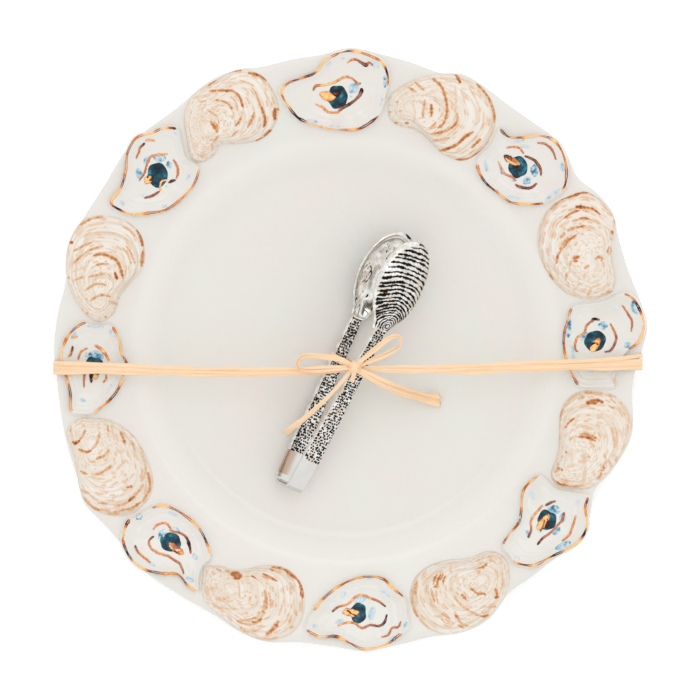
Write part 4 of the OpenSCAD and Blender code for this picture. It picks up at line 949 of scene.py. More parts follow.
# The slip's strokes, one list for each shell. Each stroke has its width in pixels, its
# strength, and then the picture points that it runs through.
rust_strokes = [
    [(1.3, .7, 208, 86, 216, 80, 224, 75, 232, 71.5, 241, 70.5),
     (2.2, .85, 249, 73, 256, 74.5, 262, 76.5, 266, 80), (2.2, .3, 240, 76, 248, 75.5),
     (1.3, .45, 240, 80.5, 248, 83, 254, 86), (1.2, .35, 222, 83, 230, 82.5, 237, 84),
     (1.3, .4, 244, 88, 247, 91, 249, 95),
     (1.6, .75, 210, 91, 218, 90.5, 226, 90.5, 231, 90.5, 236, 93, 240, 98, 242, 103, 243.5, 108),
     (2.4, .9, 226, 91, 231, 90.5), (2.2, .85, 241, 101, 242.5, 106),
     (1.5, .6, 255.5, 92, 258, 99, 260.5, 106),
     (1.9, .85, 261.5, 107, 263, 112, 265, 118, 265, 123, 263.5, 127),
     (2.8, .9, 275, 109, 274.5, 114, 275, 119), (1.6, .7, 276, 108.5, 279, 110),
     (2, .85, 257, 141, 264, 138), (2.4, .95, 265, 136, 269, 132, 272, 131),
     (1.8, .7, 254, 113, 252.5, 118, 250, 123, 248, 127), (1.6, .7, 241.5, 116, 239.5, 121, 236, 125.5),
     (1.5, .6, 238, 131, 235, 133, 232.5, 136),
     (1.4, .65, 216, 100, 222, 101, 227, 103, 230, 106, 232.5, 109.5),
     (1.4, .5, 231, 97, 235, 101, 237, 106, 237, 110), (1.2, .45, 234, 112, 233.5, 116, 232.5, 119),
     (1.3, .5, 200, 102, 206, 101), (1.3, .4, 199, 109.5, 205, 107),
     (1.6, .55, 209, 111, 213, 113.5, 217, 116.5), (2.3, .8, 211, 122, 214, 126, 217, 131.5),
     (1.2, .6, 214, 121, 217, 125, 218, 130), (1.2, .5, 218, 119, 219, 124),
     (1.2, .35, 202, 120.5, 208, 121), (1.5, .6, 218, 136, 216, 139, 214, 142),
     (2.5, .3, 203, 138, 209, 137), (2, .4, 210, 140, 216, 140), (2, .5, 212, 144, 212, 150),
     (3.4, .4, 203, 153, 202, 157), (3, .25, 194, 144, 197, 145), (3, .28, 204, 147, 208, 149),
     (1.3, .3, 196, 98.5, 202, 96, 210, 95), (1.3, .35, 262, 82, 265, 87), (1.3, .3, 268, 96, 269, 103),
     (1.2, .25, 259, 117, 257, 127), (1.4, .3, 246, 130, 240, 136)],
    [(1.7, .7, 477, 84, 488, 97, 494, 113, 494, 122),
     (1.8, .75, 490, 141, 485, 148, 477, 154, 468.5, 159, 456, 160), (2.2, .9, 455.5, 74, 460, 82),
     (1.4, .35, 478, 90, 482, 98), (1.4, .35, 461, 89, 465, 103),
     (1.3, .35, 469, 87, 478, 105, 479, 120, 475, 125),
     (1.9, .85, 473, 132, 465, 137, 457.5, 144, 449.5, 148, 439, 151),
     (1.8, .75, 433, 79, 441, 86, 445, 96, 447, 107, 446, 117, 443, 124, 438, 128),
     (1.3, .35, 455, 86, 456, 100, 455, 113),
     (1.7, .7, 457, 113.5, 457, 121, 452, 127.5, 442, 132, 431, 134), (1.8, .8, 431.4, 105, 431.4, 116),
     (1.6, .6, 425, 100, 423.5, 109.5, 422.7, 118), (1.6, .6, 408, 87, 416, 92),
     (1.6, .6, 415, 82, 424, 90.5), (1.6, .6, 430, 129, 436, 122.5), (1.6, .55, 433, 141, 449, 138),
     (1.8, .8, 472, 147.5, 480, 139.5), (2.4, .7, 406, 123, 408, 123), (2.2, .6, 395, 123, 397, 123),
     (2.2, .6, 396.5, 102, 397.5, 102), (2.2, .6, 389.5, 112, 390.5, 112), (2.2, .5, 400, 111, 401, 111),
     (1.3, .3, 412, 101, 415, 112, 414, 122)],
    [(1.5, .6, 551, 209, 556, 204.5, 560, 201),
     (1.7, .85, 562, 199.5, 565, 197.5, 571, 196.5, 578, 194, 585, 192.3, 591, 192.7,
      597, 196.3, 602, 199.5, 606, 204), (1.1, .35, 584, 199, 590, 198.5, 595, 200),
     (2.4, .95, 577, 207, 581, 207, 586, 207.5),
     (1.4, .85, 586, 207.5, 592, 208.5, 596, 211, 600, 214.5), (1.3, .5, 569, 210, 575, 208.5),
     (1.1, .6, 583, 210.5, 589, 212), (1.5, .8, 564.5, 218, 570, 214, 575, 211.5, 579, 210.5),
     (1.4, .4, 558, 219, 563, 216), (1.2, .3, 553, 214.5, 558, 213), (2, .55, 573, 221, 579, 219.5),
     (1.6, .8, 579, 219, 584, 218, 589, 219), (1.6, .45, 589, 219.5, 595, 221, 600, 224),
     (1.5, .4, 560, 227, 564, 223.5, 569, 220.5), (2.4, .6, 561, 237, 564, 233.5),
     (2.2, .6, 568, 230.5, 574, 228, 580, 227), (1.8, .75, 580, 226.8, 585, 226),
     (2.2, .4, 586, 226.5, 592, 228, 594, 229), (2.2, .6, 560, 249, 564, 243, 568, 238),
     (1.6, .8, 564, 247.5, 568, 241, 572, 238, 576, 235.5), (1.4, .6, 563, 247, 560, 252, 558, 256),
     (1.8, .75, 558, 255, 557, 259, 556.5, 263), (1.3, .45, 545, 232, 543.5, 238, 543, 244),
     (1.1, .3, 543, 250, 542.5, 260), (1.1, .3, 541, 224, 539, 233), (1.2, .35, 549, 220, 545, 226),
     (1.2, .3, 550, 243, 549.5, 252), (1.2, .3, 558, 266, 558, 278), (4, .75, 575, 258, 578, 257),
     (2.5, .7, 574.5, 261, 577, 261), (1.6, .5, 571, 261, 570, 266), (1.2, .4, 569.5, 270, 567, 276),
     (2, .55, 566.5, 274, 566, 279), (1.2, .4, 568, 282, 569, 287), (2, .65, 550, 275, 553, 279),
     (1.2, .3, 554, 277, 557, 281), (1.3, .35, 594, 248, 602, 247),
     (1.8, .6, 595, 259, 599, 257, 602, 258.5, 601.5, 261), (2, .5, 603, 263, 604, 267),
     (2.2, .6, 585, 268, 588, 266), (1.6, .35, 583, 277, 588, 272), (1.2, .5, 577.5, 286, 580, 283),
     (1.4, .35, 574, 290, 577, 287), (1.6, .3, 573, 291, 576, 295), (2.2, .45, 591, 289, 588, 295),
     (1.4, .3, 591, 288, 600, 284), (2.6, .6, 608, 292, 612, 292), (2, .35, 602, 294, 606, 294),
     (1.6, .35, 604, 206, 608, 211, 612, 215), (1.4, .45, 607, 213, 612, 216),
     (1.4, .5, 614, 220, 615, 225), (1.4, .3, 604, 226, 610, 230), (2.8, .95, 612, 232, 613, 234),
     (1.2, .5, 611, 238, 611.5, 240), (1.5, .6, 609, 247, 607.5, 252, 609, 254),
     (1.2, .5, 610, 247, 611, 251, 609.5, 254.5), (2.5, .2, 590, 235, 601, 235)],
    [(2.4, .6, 585, 392.5, 592, 393), (2.6, .5, 594, 393, 602, 394), (1.8, .45, 605, 395, 616, 396),
     (2, .4, 568, 401, 573, 397, 579, 393.5), (2.4, .5, 579, 399, 584, 397),
     (3.4, 1, 588, 403, 592, 402.5), (2.4, .9, 591, 400.5, 598, 400.5, 602, 402),
     (2, .85, 592, 403.5, 597, 403), (2, .3, 582, 405.5, 588, 404.5), (1.4, .4, 599, 404.5, 605, 406),
     (1.3, .6, 609, 406, 614, 408.5), (1.6, .4, 614, 407, 620, 410),
     (1.6, .55, 563, 409, 561, 414, 560.5, 420), (1.4, .3, 560.5, 424, 560, 430),
     (1.2, .35, 560, 433, 560, 440), (2, .7, 566, 426.5, 565.5, 427),
     (1.6, .75, 567, 424.5, 570, 421.5, 574, 418.5), (1.1, .3, 563, 430, 565, 427.5),
     (1.2, .3, 563, 421, 566, 416), (2.4, .25, 576, 420, 577, 418),
     (1.8, .3, 598, 414, 606, 415, 609, 417), (3, .3, 598, 423, 602, 423),
     (2.4, .25, 604, 425, 608, 425), (3, .35, 582, 426, 587, 428.5, 591, 428.5),
     (2.2, .25, 576, 426, 581, 425), (2.4, .65, 580, 435, 585, 434, 590, 436, 596, 438),
     (1.8, .85, 579, 437, 585, 437, 590, 438.5, 595, 441), (1.6, .45, 569, 440, 573, 437.5, 577, 436),
     (2.6, .45, 590, 443, 594, 446), (1.4, .2, 596, 447, 600, 450),
     (1.6, .45, 612, 428, 613, 434, 614, 440, 614.5, 447), (1.4, .35, 615, 428, 617, 436, 617, 450),
     (1.4, .3, 614.5, 450, 615, 457), (2, .5, 609, 461, 611, 465, 611, 467),
     (1.6, .5, 616, 457, 616, 461), (1.2, .3, 620, 430, 623, 438), (1.4, .3, 624, 440, 624, 446),
     (2.2, .4, 627, 425, 628, 427), (1.4, .3, 628, 413, 629, 422), (2, .25, 624, 405, 627, 412),
     (1.4, .4, 621, 402, 621.5, 407), (2.2, .5, 604, 454, 605.5, 458), (2, .45, 606, 460, 605, 464),
     (1.4, .3, 607.5, 449, 607.5, 454), (1.5, .75, 603, 465, 604, 469), (1.2, .5, 600.5, 464, 601, 467),
     (1.8, .6, 601, 470.5, 603.5, 470), (2.2, .7, 601, 473, 601, 476), (2, .6, 600, 476, 597, 479),
     (2.4, .4, 594, 473, 594.5, 475), (1.8, .3, 590, 480, 591, 483),
     (3.6, .35, 582, 456, 585, 459, 583, 461), (2.6, .5, 588.5, 456, 589, 457),
     (2.2, .35, 579, 461, 585, 462), (2, .3, 586, 463, 585, 469, 584, 476),
     (2.4, .35, 585, 470, 584, 477, 583, 484), (2.4, .8, 558, 468, 558.5, 468.5),
     (2.2, .85, 561.5, 469, 562, 470), (2.4, .5, 555, 472, 558, 470), (2, .4, 558, 464, 557.5, 468),
     (2, .7, 566, 452, 566.5, 452.5), (1.6, .6, 562, 457, 562.5, 456.5), (3, .2, 568, 452, 571, 454),
     (3, .3, 568, 467, 574, 465), (4, .4, 562, 480, 567, 481), (3, .4, 564, 483, 567, 482),
     (1.4, .8, 556, 481, 560, 484, 567, 485.5), (2.2, .6, 562, 484, 568, 485.5),
     (1.6, .5, 568, 486, 574, 486.5), (2.2, .65, 574, 486.5, 578, 486), (1.6, .5, 579, 486, 584, 485)],
    [(2.6, .6, 417, 581, 415.5, 588, 415, 594), (1.6, .5, 413, 589, 412.5, 597, 412.5, 603, 414, 608),
     (2.2, .6, 414, 609, 416, 614, 418, 616.5), (2.4, .35, 416, 595, 416, 602, 415, 608),
     (1.4, .45, 426, 571, 422, 576), (1.6, .45, 420, 619, 424, 624, 428, 627),
     (1.4, .3, 422, 620, 428, 628, 433, 631), (1.2, .3, 424, 617, 430, 623, 437, 629),
     (1.2, .25, 421, 590, 422, 598), (1.6, .75, 437, 575, 434.5, 579, 433.5, 584),
     (1.8, .8, 440.5, 575, 438, 580, 437, 585), (2.4, .7, 434, 587, 437, 586, 438, 584),
     (1.6, .75, 443, 575, 440.5, 579.5), (1.4, .7, 445.5, 576, 443.5, 580, 443, 584),
     (2, .5, 440, 572, 443, 573), (1.5, .6, 431, 589, 432.5, 594, 434, 600, 434.5, 602),
     (1.4, .45, 436, 590, 436.5, 597, 438, 604), (1.6, .35, 431.5, 602, 431, 604),
     (1.1, .25, 438, 606, 442, 612), (1.4, .4, 434, 616, 440, 617),
     (1.6, .6, 442, 614, 446, 616, 449, 618), (1.2, .5, 441, 618, 445, 623),
     (1.2, .45, 445, 619, 449, 622), (1.2, .4, 449, 620, 454, 624), (1.8, .35, 451, 566, 450, 571),
     (2.4, .4, 450, 570.5, 451.5, 571.5), (2, .3, 457, 575, 457.5, 583), (1.4, .3, 463, 575, 462.5, 580),
     (2.2, .3, 457, 588, 460, 590), (1.2, .35, 456, 576, 455, 582),
     (2, .7, 462, 595, 464, 597, 466, 599.5), (1.4, .4, 464, 592, 468, 597),
     (2.2, .7, 471, 589, 475, 591), (2, .75, 475, 592, 478, 594, 483, 593.5, 485, 594.5),
     (1.6, .6, 479, 592, 482, 592.5), (1.8, .35, 485, 587, 486, 588),
     (1.5, .5, 454, 596, 457, 600.5, 461, 605, 466, 609, 470, 611),
     (1.8, .55, 470, 611.5, 474, 613.5, 479, 615.5), (1.8, .85, 481, 616, 484, 616.5, 488, 615),
     (1.4, .4, 482, 613, 489, 612), (2, .35, 482, 606, 487, 606.5), (1.8, .5, 488, 607.5, 495, 606.5),
     (1.4, .35, 489, 605, 496, 604), (2.2, .7, 495.5, 589, 497, 594, 496.5, 597.5),
     (2.4, .85, 495.5, 597.5, 498, 597), (2, .35, 495, 570, 498, 575, 497, 579),
     (2, .4, 502, 578, 503, 582, 502.5, 587), (2.2, .25, 500, 573, 502, 577),
     (2.4, .45, 455, 612, 456, 616), (2, .7, 455, 615, 458, 618, 459, 621),
     (1.8, .55, 459, 621, 463, 624.5, 468, 626), (1.6, .7, 458, 625, 463, 627.5),
     (1.8, .7, 479, 568, 483, 567, 486.5, 564), (1.6, .5, 480, 571, 478, 574),
     (2.4, .4, 476, 569, 479, 572), (1.6, .4, 476, 561, 479, 560), (1.4, .35, 477, 564, 481, 563),
     (2.2, .45, 490, 560, 494, 561), (1.2, .6, 489, 556.5, 491, 556.5), (3, .25, 488, 558, 496, 557),
     (2, .25, 499, 558, 501, 559)],
    [(1.6, .55, 217, 569, 221, 571), (1.4, .55, 225, 570, 230, 572), (4.5, .95, 233, 574, 240, 576),
     (3.4, .9, 234, 573, 238, 573), (3, .9, 235, 578, 239, 578),
     (1.6, .75, 272, 567, 276, 567.5, 281, 568.5, 287, 571, 292, 575, 297, 579.5, 300, 583),
     (1.9, .85, 286, 571, 291, 575, 296, 579), (2.2, .75, 299, 582, 301.5, 588, 302, 594),
     (1.6, .9, 300.5, 592, 301, 596), (1.6, .85, 303, 592, 302.5, 598), (1.4, .35, 302, 600, 302, 608),
     (1.4, .6, 270, 569, 274, 571), (1.6, .35, 274, 571, 281, 573),
     (1.4, .8, 263, 574, 268, 576, 273, 579, 277, 581), (1.2, .6, 262, 576, 270, 579),
     (1.5, .85, 252, 576, 256, 578.5), (1.1, .35, 256, 579, 262, 583),
     (1.4, .35, 286, 574, 290, 578, 292, 580), (1.6, .5, 290, 583, 292, 588),
     (1.1, .4, 238, 580, 239, 586, 239.5, 592), (1.4, .45, 239.5, 592, 239, 598),
     (2.6, .55, 265, 591, 265.5, 596), (2.6, .6, 266, 597, 265.5, 603, 264.5, 609),
     (2.2, .5, 264, 609, 262.5, 615, 261, 617), (1.4, .6, 267, 596, 267, 604, 266.5, 609),
     (1.3, .55, 268.5, 592, 270, 598, 270.5, 603, 271, 608), (1.4, .5, 272, 600, 273, 607),
     (2.2, .55, 259, 613, 258, 616), (1.8, .6, 262, 611, 265, 613), (2, .6, 249.5, 600, 250.5, 597),
     (3, .3, 249, 602, 250, 604), (1.4, .6, 237, 621, 243, 620.5, 250, 619.5, 256, 617),
     (1.4, .55, 238, 622, 246, 624, 254, 624, 259, 621.5), (2, .8, 253, 622, 257, 622, 261, 619),
     (1.8, .5, 254, 618, 260, 619), (1.4, .45, 248, 631, 255, 631, 261, 628),
     (1.6, .4, 251, 629, 256, 630), (1.2, .3, 258, 631, 263, 630.5),
     (2.6, .75, 278, 622, 275, 627, 271, 631, 267, 634), (2.2, .7, 275, 628, 272, 631),
     (1.6, .5, 266, 636, 271, 634), (1.6, .35, 284, 598, 284, 606), (2, .4, 281, 609, 279, 615),
     (1.3, .45, 289, 613, 287, 617), (1.6, .45, 291, 616, 289, 624), (2, .45, 295, 610, 296.5, 615),
     (2.4, .5, 291, 628, 292, 627), (1.4, .3, 286, 628, 285, 631), (2.4, .35, 206, 570, 207, 574),
     (2.4, .35, 212, 571, 214, 574), (2.6, .35, 206, 587, 208, 595), (2.2, .35, 209, 589, 217, 588),
     (1.8, .4, 216, 584, 217, 589), (3, .4, 217, 599, 223, 599, 228, 598),
     (1.6, .35, 225, 602, 232, 601), (1.5, .55, 213, 604, 217, 607, 221, 609),
     (1.3, .35, 222, 608, 230, 609, 238, 609), (1.8, .4, 229, 618, 232, 621),
     (2, .5, 240, 627, 244, 630, 248, 632), (1.2, .5, 264, 638, 270, 639, 278, 637),
     (2, .25, 271, 587, 273, 589), (1.4, .25, 250, 583, 251, 592)],
    [(1.8, .55, 71, 427, 70.5, 431), (1.8, .35, 71, 433, 72, 437), (2, .35, 83, 425, 85, 427),
     (1.8, .6, 85, 431, 83, 435, 80, 439.5), (2.6, .9, 73, 442, 75, 444), (2.8, 1, 75, 443.5, 79, 441),
     (1.8, .75, 79, 449.5, 83, 451, 87, 452, 91, 450.5),
     (1.8, .55, 91, 450, 95, 446, 98, 440, 99.5, 433), (2, .3, 99, 431, 98, 424),
     (1.4, .6, 107.5, 426, 108.5, 432), (2, .35, 108, 433, 108, 436),
     (1.2, .35, 111, 425, 112.5, 431, 115, 440), (1.4, .4, 116, 434, 118, 441),
     (1.8, .7, 120.5, 432, 123, 438, 125, 444), (1.2, .3, 121, 444, 122, 452),
     (2.2, .5, 132, 441, 134, 446), (1.8, .4, 134, 447, 134.5, 457), (2, .75, 97, 458.5, 101, 457),
     (1.8, .55, 101, 457, 105, 455, 109, 450), (1.4, .5, 90, 462, 95, 461), (2, .4, 99, 454, 102, 450),
     (1.4, .3, 82, 465, 86, 468), (1.6, .65, 81, 471.5, 84, 473, 87, 474),
     (1.8, .6, 95, 474.5, 100, 473.5, 104, 471), (1.8, .6, 104, 471, 108, 468, 112, 466.5),
     (2, .4, 97, 479, 101, 479), (1.8, .4, 107, 481, 111, 480), (1.4, .3, 92, 484, 97, 487, 104, 488),
     (1.6, .4, 96, 493, 101, 494, 107, 493), (1.4, .3, 88, 477, 95, 477),
     (1.4, .4, 117, 470, 121, 465, 126, 460), (1.2, .25, 113, 476, 117, 471),
     (2, .35, 130, 478, 134, 474), (2.6, .7, 127, 487, 131, 486.5), (2, .85, 128, 487.5, 129, 487),
     (1.6, .4, 122, 490, 125, 488), (2, .4, 112, 485, 114, 484), (1.6, .4, 113, 498, 118, 495),
     (1.2, .3, 105, 500, 113, 500), (1.6, .55, 98, 503, 107, 503.5),
     (1.8, .5, 81, 489, 85, 492, 89, 493), (1.6, .55, 84, 498, 88, 503, 93, 507),
     (2, .75, 93, 507.5, 99, 510), (1.6, .45, 99, 510, 104, 510, 110, 510),
     (2, .5, 108, 513.5, 113, 514), (1.2, .5, 113, 514, 119, 513.5),
     (1.8, .55, 114, 512, 119, 511, 126, 509), (1.8, .7, 126, 509.5, 131, 508.5, 136, 505.5, 140, 502.5),
     (1.8, .55, 115, 506, 122, 505, 128, 502), (2.2, .9, 129, 501, 132, 498, 134, 497),
     (1.8, .55, 134, 496, 139, 491, 143, 485), (1.4, .3, 119, 506, 125, 504),
     (1.4, .45, 141, 452, 144, 459, 146, 466, 145, 473, 143, 479, 141, 481),
     (1.4, .4, 143, 470, 141, 476), (1.8, .7, 148, 473, 149.5, 481, 150, 487, 149, 492),
     (1.8, .6, 149, 490, 146, 496, 143, 501), (1.4, .5, 147, 487, 144.5, 494),
     (1.2, .3, 139, 446, 142, 453)],
    [(1.7, .6, 80, 225, 91, 219, 101, 217, 104, 217.5), (3.2, .9, 71, 242.5, 72, 242.5),
     (2, .6, 68.5, 277.5, 69, 278), (1.4, .35, 89, 226, 104, 223), (1.6, .4, 104.5, 227, 105.5, 227),
     (1.6, .6, 74, 251, 83, 246, 91, 242.5), (1.6, .6, 73, 264, 80, 257, 88, 251, 96, 248, 103, 246),
     (2, .8, 94, 255.5, 102, 254, 110.5, 257, 117, 261, 121, 270, 123, 278),
     (1.6, .6, 96, 265, 102, 264, 108, 264), (1.6, .6, 75, 280, 83, 277),
     (1.6, .6, 89, 277, 97, 275, 104, 274), (1.6, .6, 86, 290, 96, 284, 106, 285),
     (1.6, .6, 90, 301, 97, 296.5, 103, 295, 110, 296.5), (2.4, .8, 137, 230.5, 140.5, 236, 142.5, 245),
     (2.2, .7, 143, 251, 141.5, 265.5), (1.3, .6, 126, 246, 131, 253, 135, 264),
     (1.2, .5, 123, 248, 128, 255, 131, 264), (2.2, .9, 115, 273, 117, 279),
     (1.4, .5, 123, 227, 129, 230, 134, 236), (2, .5, 109, 301.5, 117, 304),
     (2.2, .5, 87, 299, 87.5, 299.5), (2.2, .5, 87, 313, 87.5, 313.5), (2.2, .5, 105, 317, 106, 317),
     (1.3, .3, 72, 272, 80, 269, 88, 265), (1.3, .3, 112, 246, 118, 250)]
]


def growth_lines(i):
    """The shares at which the shell's growth ridges lie, unevenly apart."""
    rng = np.random.default_rng(1000 + i)
    steps = rng.uniform(*ridge_steps, ridge_count) * np.linspace(*ridge_thinning, ridge_count)
    return ridge_first + ridge_run * np.cumsum(steps) / steps.sum()


def warped(i, share, turn):
    """The share of the way out, bent so that the growth ridges wander."""
    return share + ridge_warp * waves(turn, 1100 + i, 6, 2, 9) * s_curve(share / warp_grows)


def dome_profile(share):
    crown = np.clip(1 - np.clip(share, 0, 1) ** dome_fall, 0, 1) ** dome_round
    return crown * (dome_middle + (1 - dome_middle) * s_curve(share / dome_grows))


def dome_height(i):
    """The dome with its growth ridges and a few lumps, which differ from shell to shell."""
    lines = growth_lines(i)

    def height(share, turn):
        bent = warped(i, share, turn)
        rough = np.zeros_like(share)
        for k, line in enumerate(lines):
            strength = ridge_mean + ridge_uneven * waves(turn, 1200 + 30 * i + k, 5, 1, 6)
            away = (bent - line) / ridge_wide
            pair = hump(away + crest_in, 1) - groove_deep * hump(away - groove_out, 1)
            rough += np.clip(strength, 0, ridge_most) * pair
        lumps = lump_h * waves(turn, 1400 + i, 5, 3, 9) * s_curve(share / lump_grows)
        skirt = edge_h * s_curve((skirt_share - share) / skirt_wide)
        body = (dome_h - edge_h) * dome_profile(share) + skirt
        return body + (ridge_h * rough + lumps) * s_curve((1 - share) / relief_fade) - dome_sink
    return height


rust_spread, rust_reach, rust_soft = 1.9, 1.55, 1.25
rust_ragged, rust_mean, rust_patchy, rust_wave = 0.32, 0.9, 0.22, 0.6
rust_margin, rust_tip, rust_body = 4, 0.65, 0.35


def rust_over(xy, lines_px, seed):
    """How strong the brown slip is at each point: brushed strokes with soft, broken edges."""
    total = np.zeros(len(xy))
    for k, (width, strength, *line) in enumerate(lines_px):
        line = plan(np.array(line).reshape(-1, 2))
        line = smooth_line(line, 5 * len(line)) if len(line) > 2 else line
        half = rust_spread * width / 2 * mm_per_px
        low, high = line.min(0) - rust_margin * half, line.max(0) + rust_margin * half
        close = np.flatnonzero(((xy > low) & (xy < high)).all(1))
        if not len(close):
            continue
        away, reach = np.full(len(close), 99.0), np.zeros(len(close))
        lengths = travelled(line)
        for a, b, start in zip(line, line[1:], lengths):
            step = np.hypot(*(b - a)) + 1e-9
            along = np.clip(((xy[close] - a) @ (b - a)) / step ** 2, 0, 1)
            gap = np.hypot(*(xy[close] - a - along[:, None] * (b - a)).T)
            reach = np.where(gap < away, start + along * step, reach)
            away = np.minimum(away, gap)
        ragged = 1 + rust_ragged * waves(reach * rust_wave, seed + k, 5, 1, 5)
        brushed = strength * (rust_mean + rust_patchy * waves(reach * rust_wave, seed + 40 + k, 4, 1, 4))
        ends = rust_tip + rust_body * s_curve(np.minimum(reach, lengths[-1] - reach) / (2 * half))
        cover = s_curve((rust_reach - away / (half * ragged * ends)) / rust_soft)
        total[close] = np.maximum(total[close], brushed * cover)
    return total


slip_scale, dry_scale, chalk_scale = 60, 800, 900
dry_least, cover_from, cover_full = 0.72, 0.02, 0.62


def slip_finish():
    """Matt cream slip, tan in the troughs, with rust-brown slip brushed over it half dry."""
    material, tree, shader = new_finish("cream_slip", Roughness=0.4, Specular_IOR_Level=0.25)
    body = mixed(tree, noise(tree, slip_scale, 3), slip_cream, slip_pale)
    body = mixed(tree, attribute(tree, "hollow"), body, slip_shade)
    dry = remap(tree, noise(tree, dry_scale, 4, 0.3, 0.6), to_low=dry_least)
    brushed = reckon(tree, "MULTIPLY", attribute(tree, "rust"), dry)
    cover = remap(tree, brushed, cover_from, cover_full)
    ink = ramp(tree, brushed, rust_tones)
    tree.links.new(mixed(tree, cover, body, ink), shader.inputs["Base Color"])
    bump(tree, shader, noise(tree, chalk_scale, 4), 0.2, 0.0004)
    return material


cream_slip = slip_finish()
dash_tone, dash_wide, dash_from, dash_grows = 0.48, 0.013, 0.1, 0.4
dash_sides = ((-0.014, 1), (0.016, 0.7))
trough_step, trough_wide, trough_tone = 0.018, 0.011, 0.62
trough_mean, trough_uneven = 0.5, 0.6
cloud_tone, cloud_turns = 0.5, 12


def closed_shell(i):
    shell = Relief(closed_px[i], closed_hinges_px[i], dome_height(i), closed_turns)
    points, faces, share, turn, xy = shell.build(closed_rings)
    spare = np.zeros(len(points) - len(share))
    trough, dashes = np.zeros(len(share)), np.zeros(len(share))
    bent = warped(i, share, turn)
    for k, line in enumerate(growth_lines(i)):
        faint = np.clip(trough_mean + trough_uneven * waves(turn, 1600 + 30 * i + k, 5, 1, 8), 0, 1)
        trough = np.maximum(trough, faint * hump(bent - line - trough_step, trough_wide))
        for step, tone in dash_sides:
            broken = waves(turn, 1800 + 30 * i + k + int(900 * tone), 6, 7, 30)
            broken = s_curve((broken - dash_from) / dash_grows)
            dashes = np.maximum(dashes, tone * dash_tone * broken * hump(bent - line - step, dash_wide))
    clouds = cloud_tone * np.clip(waves(share * cloud_turns + turn, 2100 + i, 5, 1, 4), 0, 1)
    rust = np.maximum(dashes, rust_over(xy, rust_strokes[i], 1500 + 90 * i))
    name = f"closed_shell_{i + 1}"
    piece = add_piece(f"{name}_slipped", points, faces, [cream_slip], "plate",
                      {"rust": np.concatenate([rust, spare]),
                       "hollow": np.concatenate([trough_tone * trough + clouds, spare])})
    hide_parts(name)


for i in range(8):
    closed_shell(i)

# Bow of the tongs: one polished strip of steel bent twice into a narrow U, whose legs spring
# apart and run into the shanks. It is drawn as two half strips, and each bends at its corner.
tongs_l = 168
strip_w, strip_t, bow_gap, corner_r = 12.2, 1.5, 13.4, 2.6
strip_show, strip_tuck = 17, 4
strip_edge = 0.3
spread, toe_in, pitch = math.radians(3.5), math.radians(7.5), math.radians(4.424)
lean, heading = math.radians(55), math.radians(63.7)
shank_t, bowl_l, bowl_w, bowl_h, bowl_t = 3, 59, 33, 8, 1.6
bow_end_px = [287.5, 487.5]
rest_gap = 0.3
leg_y = (bow_gap + strip_t) / 2
corner_x, corner_y = strip_t + corner_r, bow_gap / 2 - corner_r
mid_r = corner_r + strip_t / 2
leg_away = np.array([-math.sin(spread), -math.cos(spread)])
leg_along = np.array([math.cos(spread), -math.sin(spread)])
hinge = np.array([corner_x, -corner_y]) + mid_r * leg_away
neck_x = (tongs_l - hinge[0] - bowl_l * math.cos(toe_in - spread)) / math.cos(spread)
bow_drop = (bow_gap / 2 + strip_t) * math.sin(lean) + strip_w / 2 * math.cos(lean)
bow_place = np.append(plan(bow_end_px), floor_z + rest_gap + bow_drop - hinge[0] * math.sin(pitch))
end_steps, corner_steps, leg_steps = 8, 24, 26
strip_points = 9, 3, 5
steel_pale, steel_grey, steel_painted_reflection = (0.76, 0.755, 0.73), (0.69, 0.685, 0.66), (0.56, 0.42, 0.32)
steel_scale, brush_scale, steel_rough = 60, 900, (0.07, 0.16)
brush_turn, brush_stretch = (0.3, 0.2, heading), (0.06, 1, 1)
# Where the painted reflection lies on the lower leg.
reflection_low, reflection_wide, reflection_from = -1, 1.6, 9


def spin(axis, angle):
    """The matrix of a turn about one axis: 0, 1 or 2."""
    c, s = math.cos(angle), math.sin(angle)
    turned = np.eye(3)
    a, b = (axis + 1) % 3, (axis + 2) % 3
    turned[a, a], turned[b, b], turned[a, b], turned[b, a] = c, c, -s, s
    return turned


tongs_turn = spin(2, heading) @ spin(1, -pitch) @ spin(0, -lean)


def laid(points):
    """Points of the tongs' own frame, laid down on the plate."""
    return bow_place + np.asarray(points, float) @ tongs_turn.T


def bar_section(t, w, round_y, round_z, wide, narrow, arc):
    """The section of a bar, t thick along Y and w wide along Z, with rounded long edges, and
    its outward directions. Sizes may be single numbers or one for each station."""
    t, w = np.atleast_1d(t)[:, None], np.atleast_1d(w)[:, None]
    uy, uz, ky, kz = [], [], [], []
    flat_wide = 1 - 2 * s_curve(np.linspace(0, 1, wide + 2)[1:-1])
    flat_narrow = 1 - 2 * s_curve(np.linspace(0, 1, narrow + 2)[1:-1])
    for start, sy, sz in ((0, 1, 1), (90, -1, 1), (180, -1, -1), (270, 1, -1)):
        for a in np.radians(np.linspace(start, start + 90, arc)):
            uy, uz, ky, kz = uy + [sy], uz + [sz], ky + [math.cos(a)], kz + [math.sin(a)]
        for f in flat_narrow if start in (0, 180) else flat_wide:
            if start in (0, 180):
                uy, uz, ky, kz = uy + [f * sy], uz + [sz], ky + [0.0], kz + [float(sz)]
            else:
                uy, uz, ky, kz = uy + [sy], uz + [f * sz], ky + [float(sy)], kz + [0.0]
    uy, uz, ky, kz = map(np.array, (uy, uz, ky, kz))
    y, z = np.broadcast_arrays(uy * (t / 2 - round_y) + round_y * ky, uz * (w / 2 - round_z) + round_z * kz)
    return y, z, unit(np.column_stack([ky / round_y, kz / round_z]))


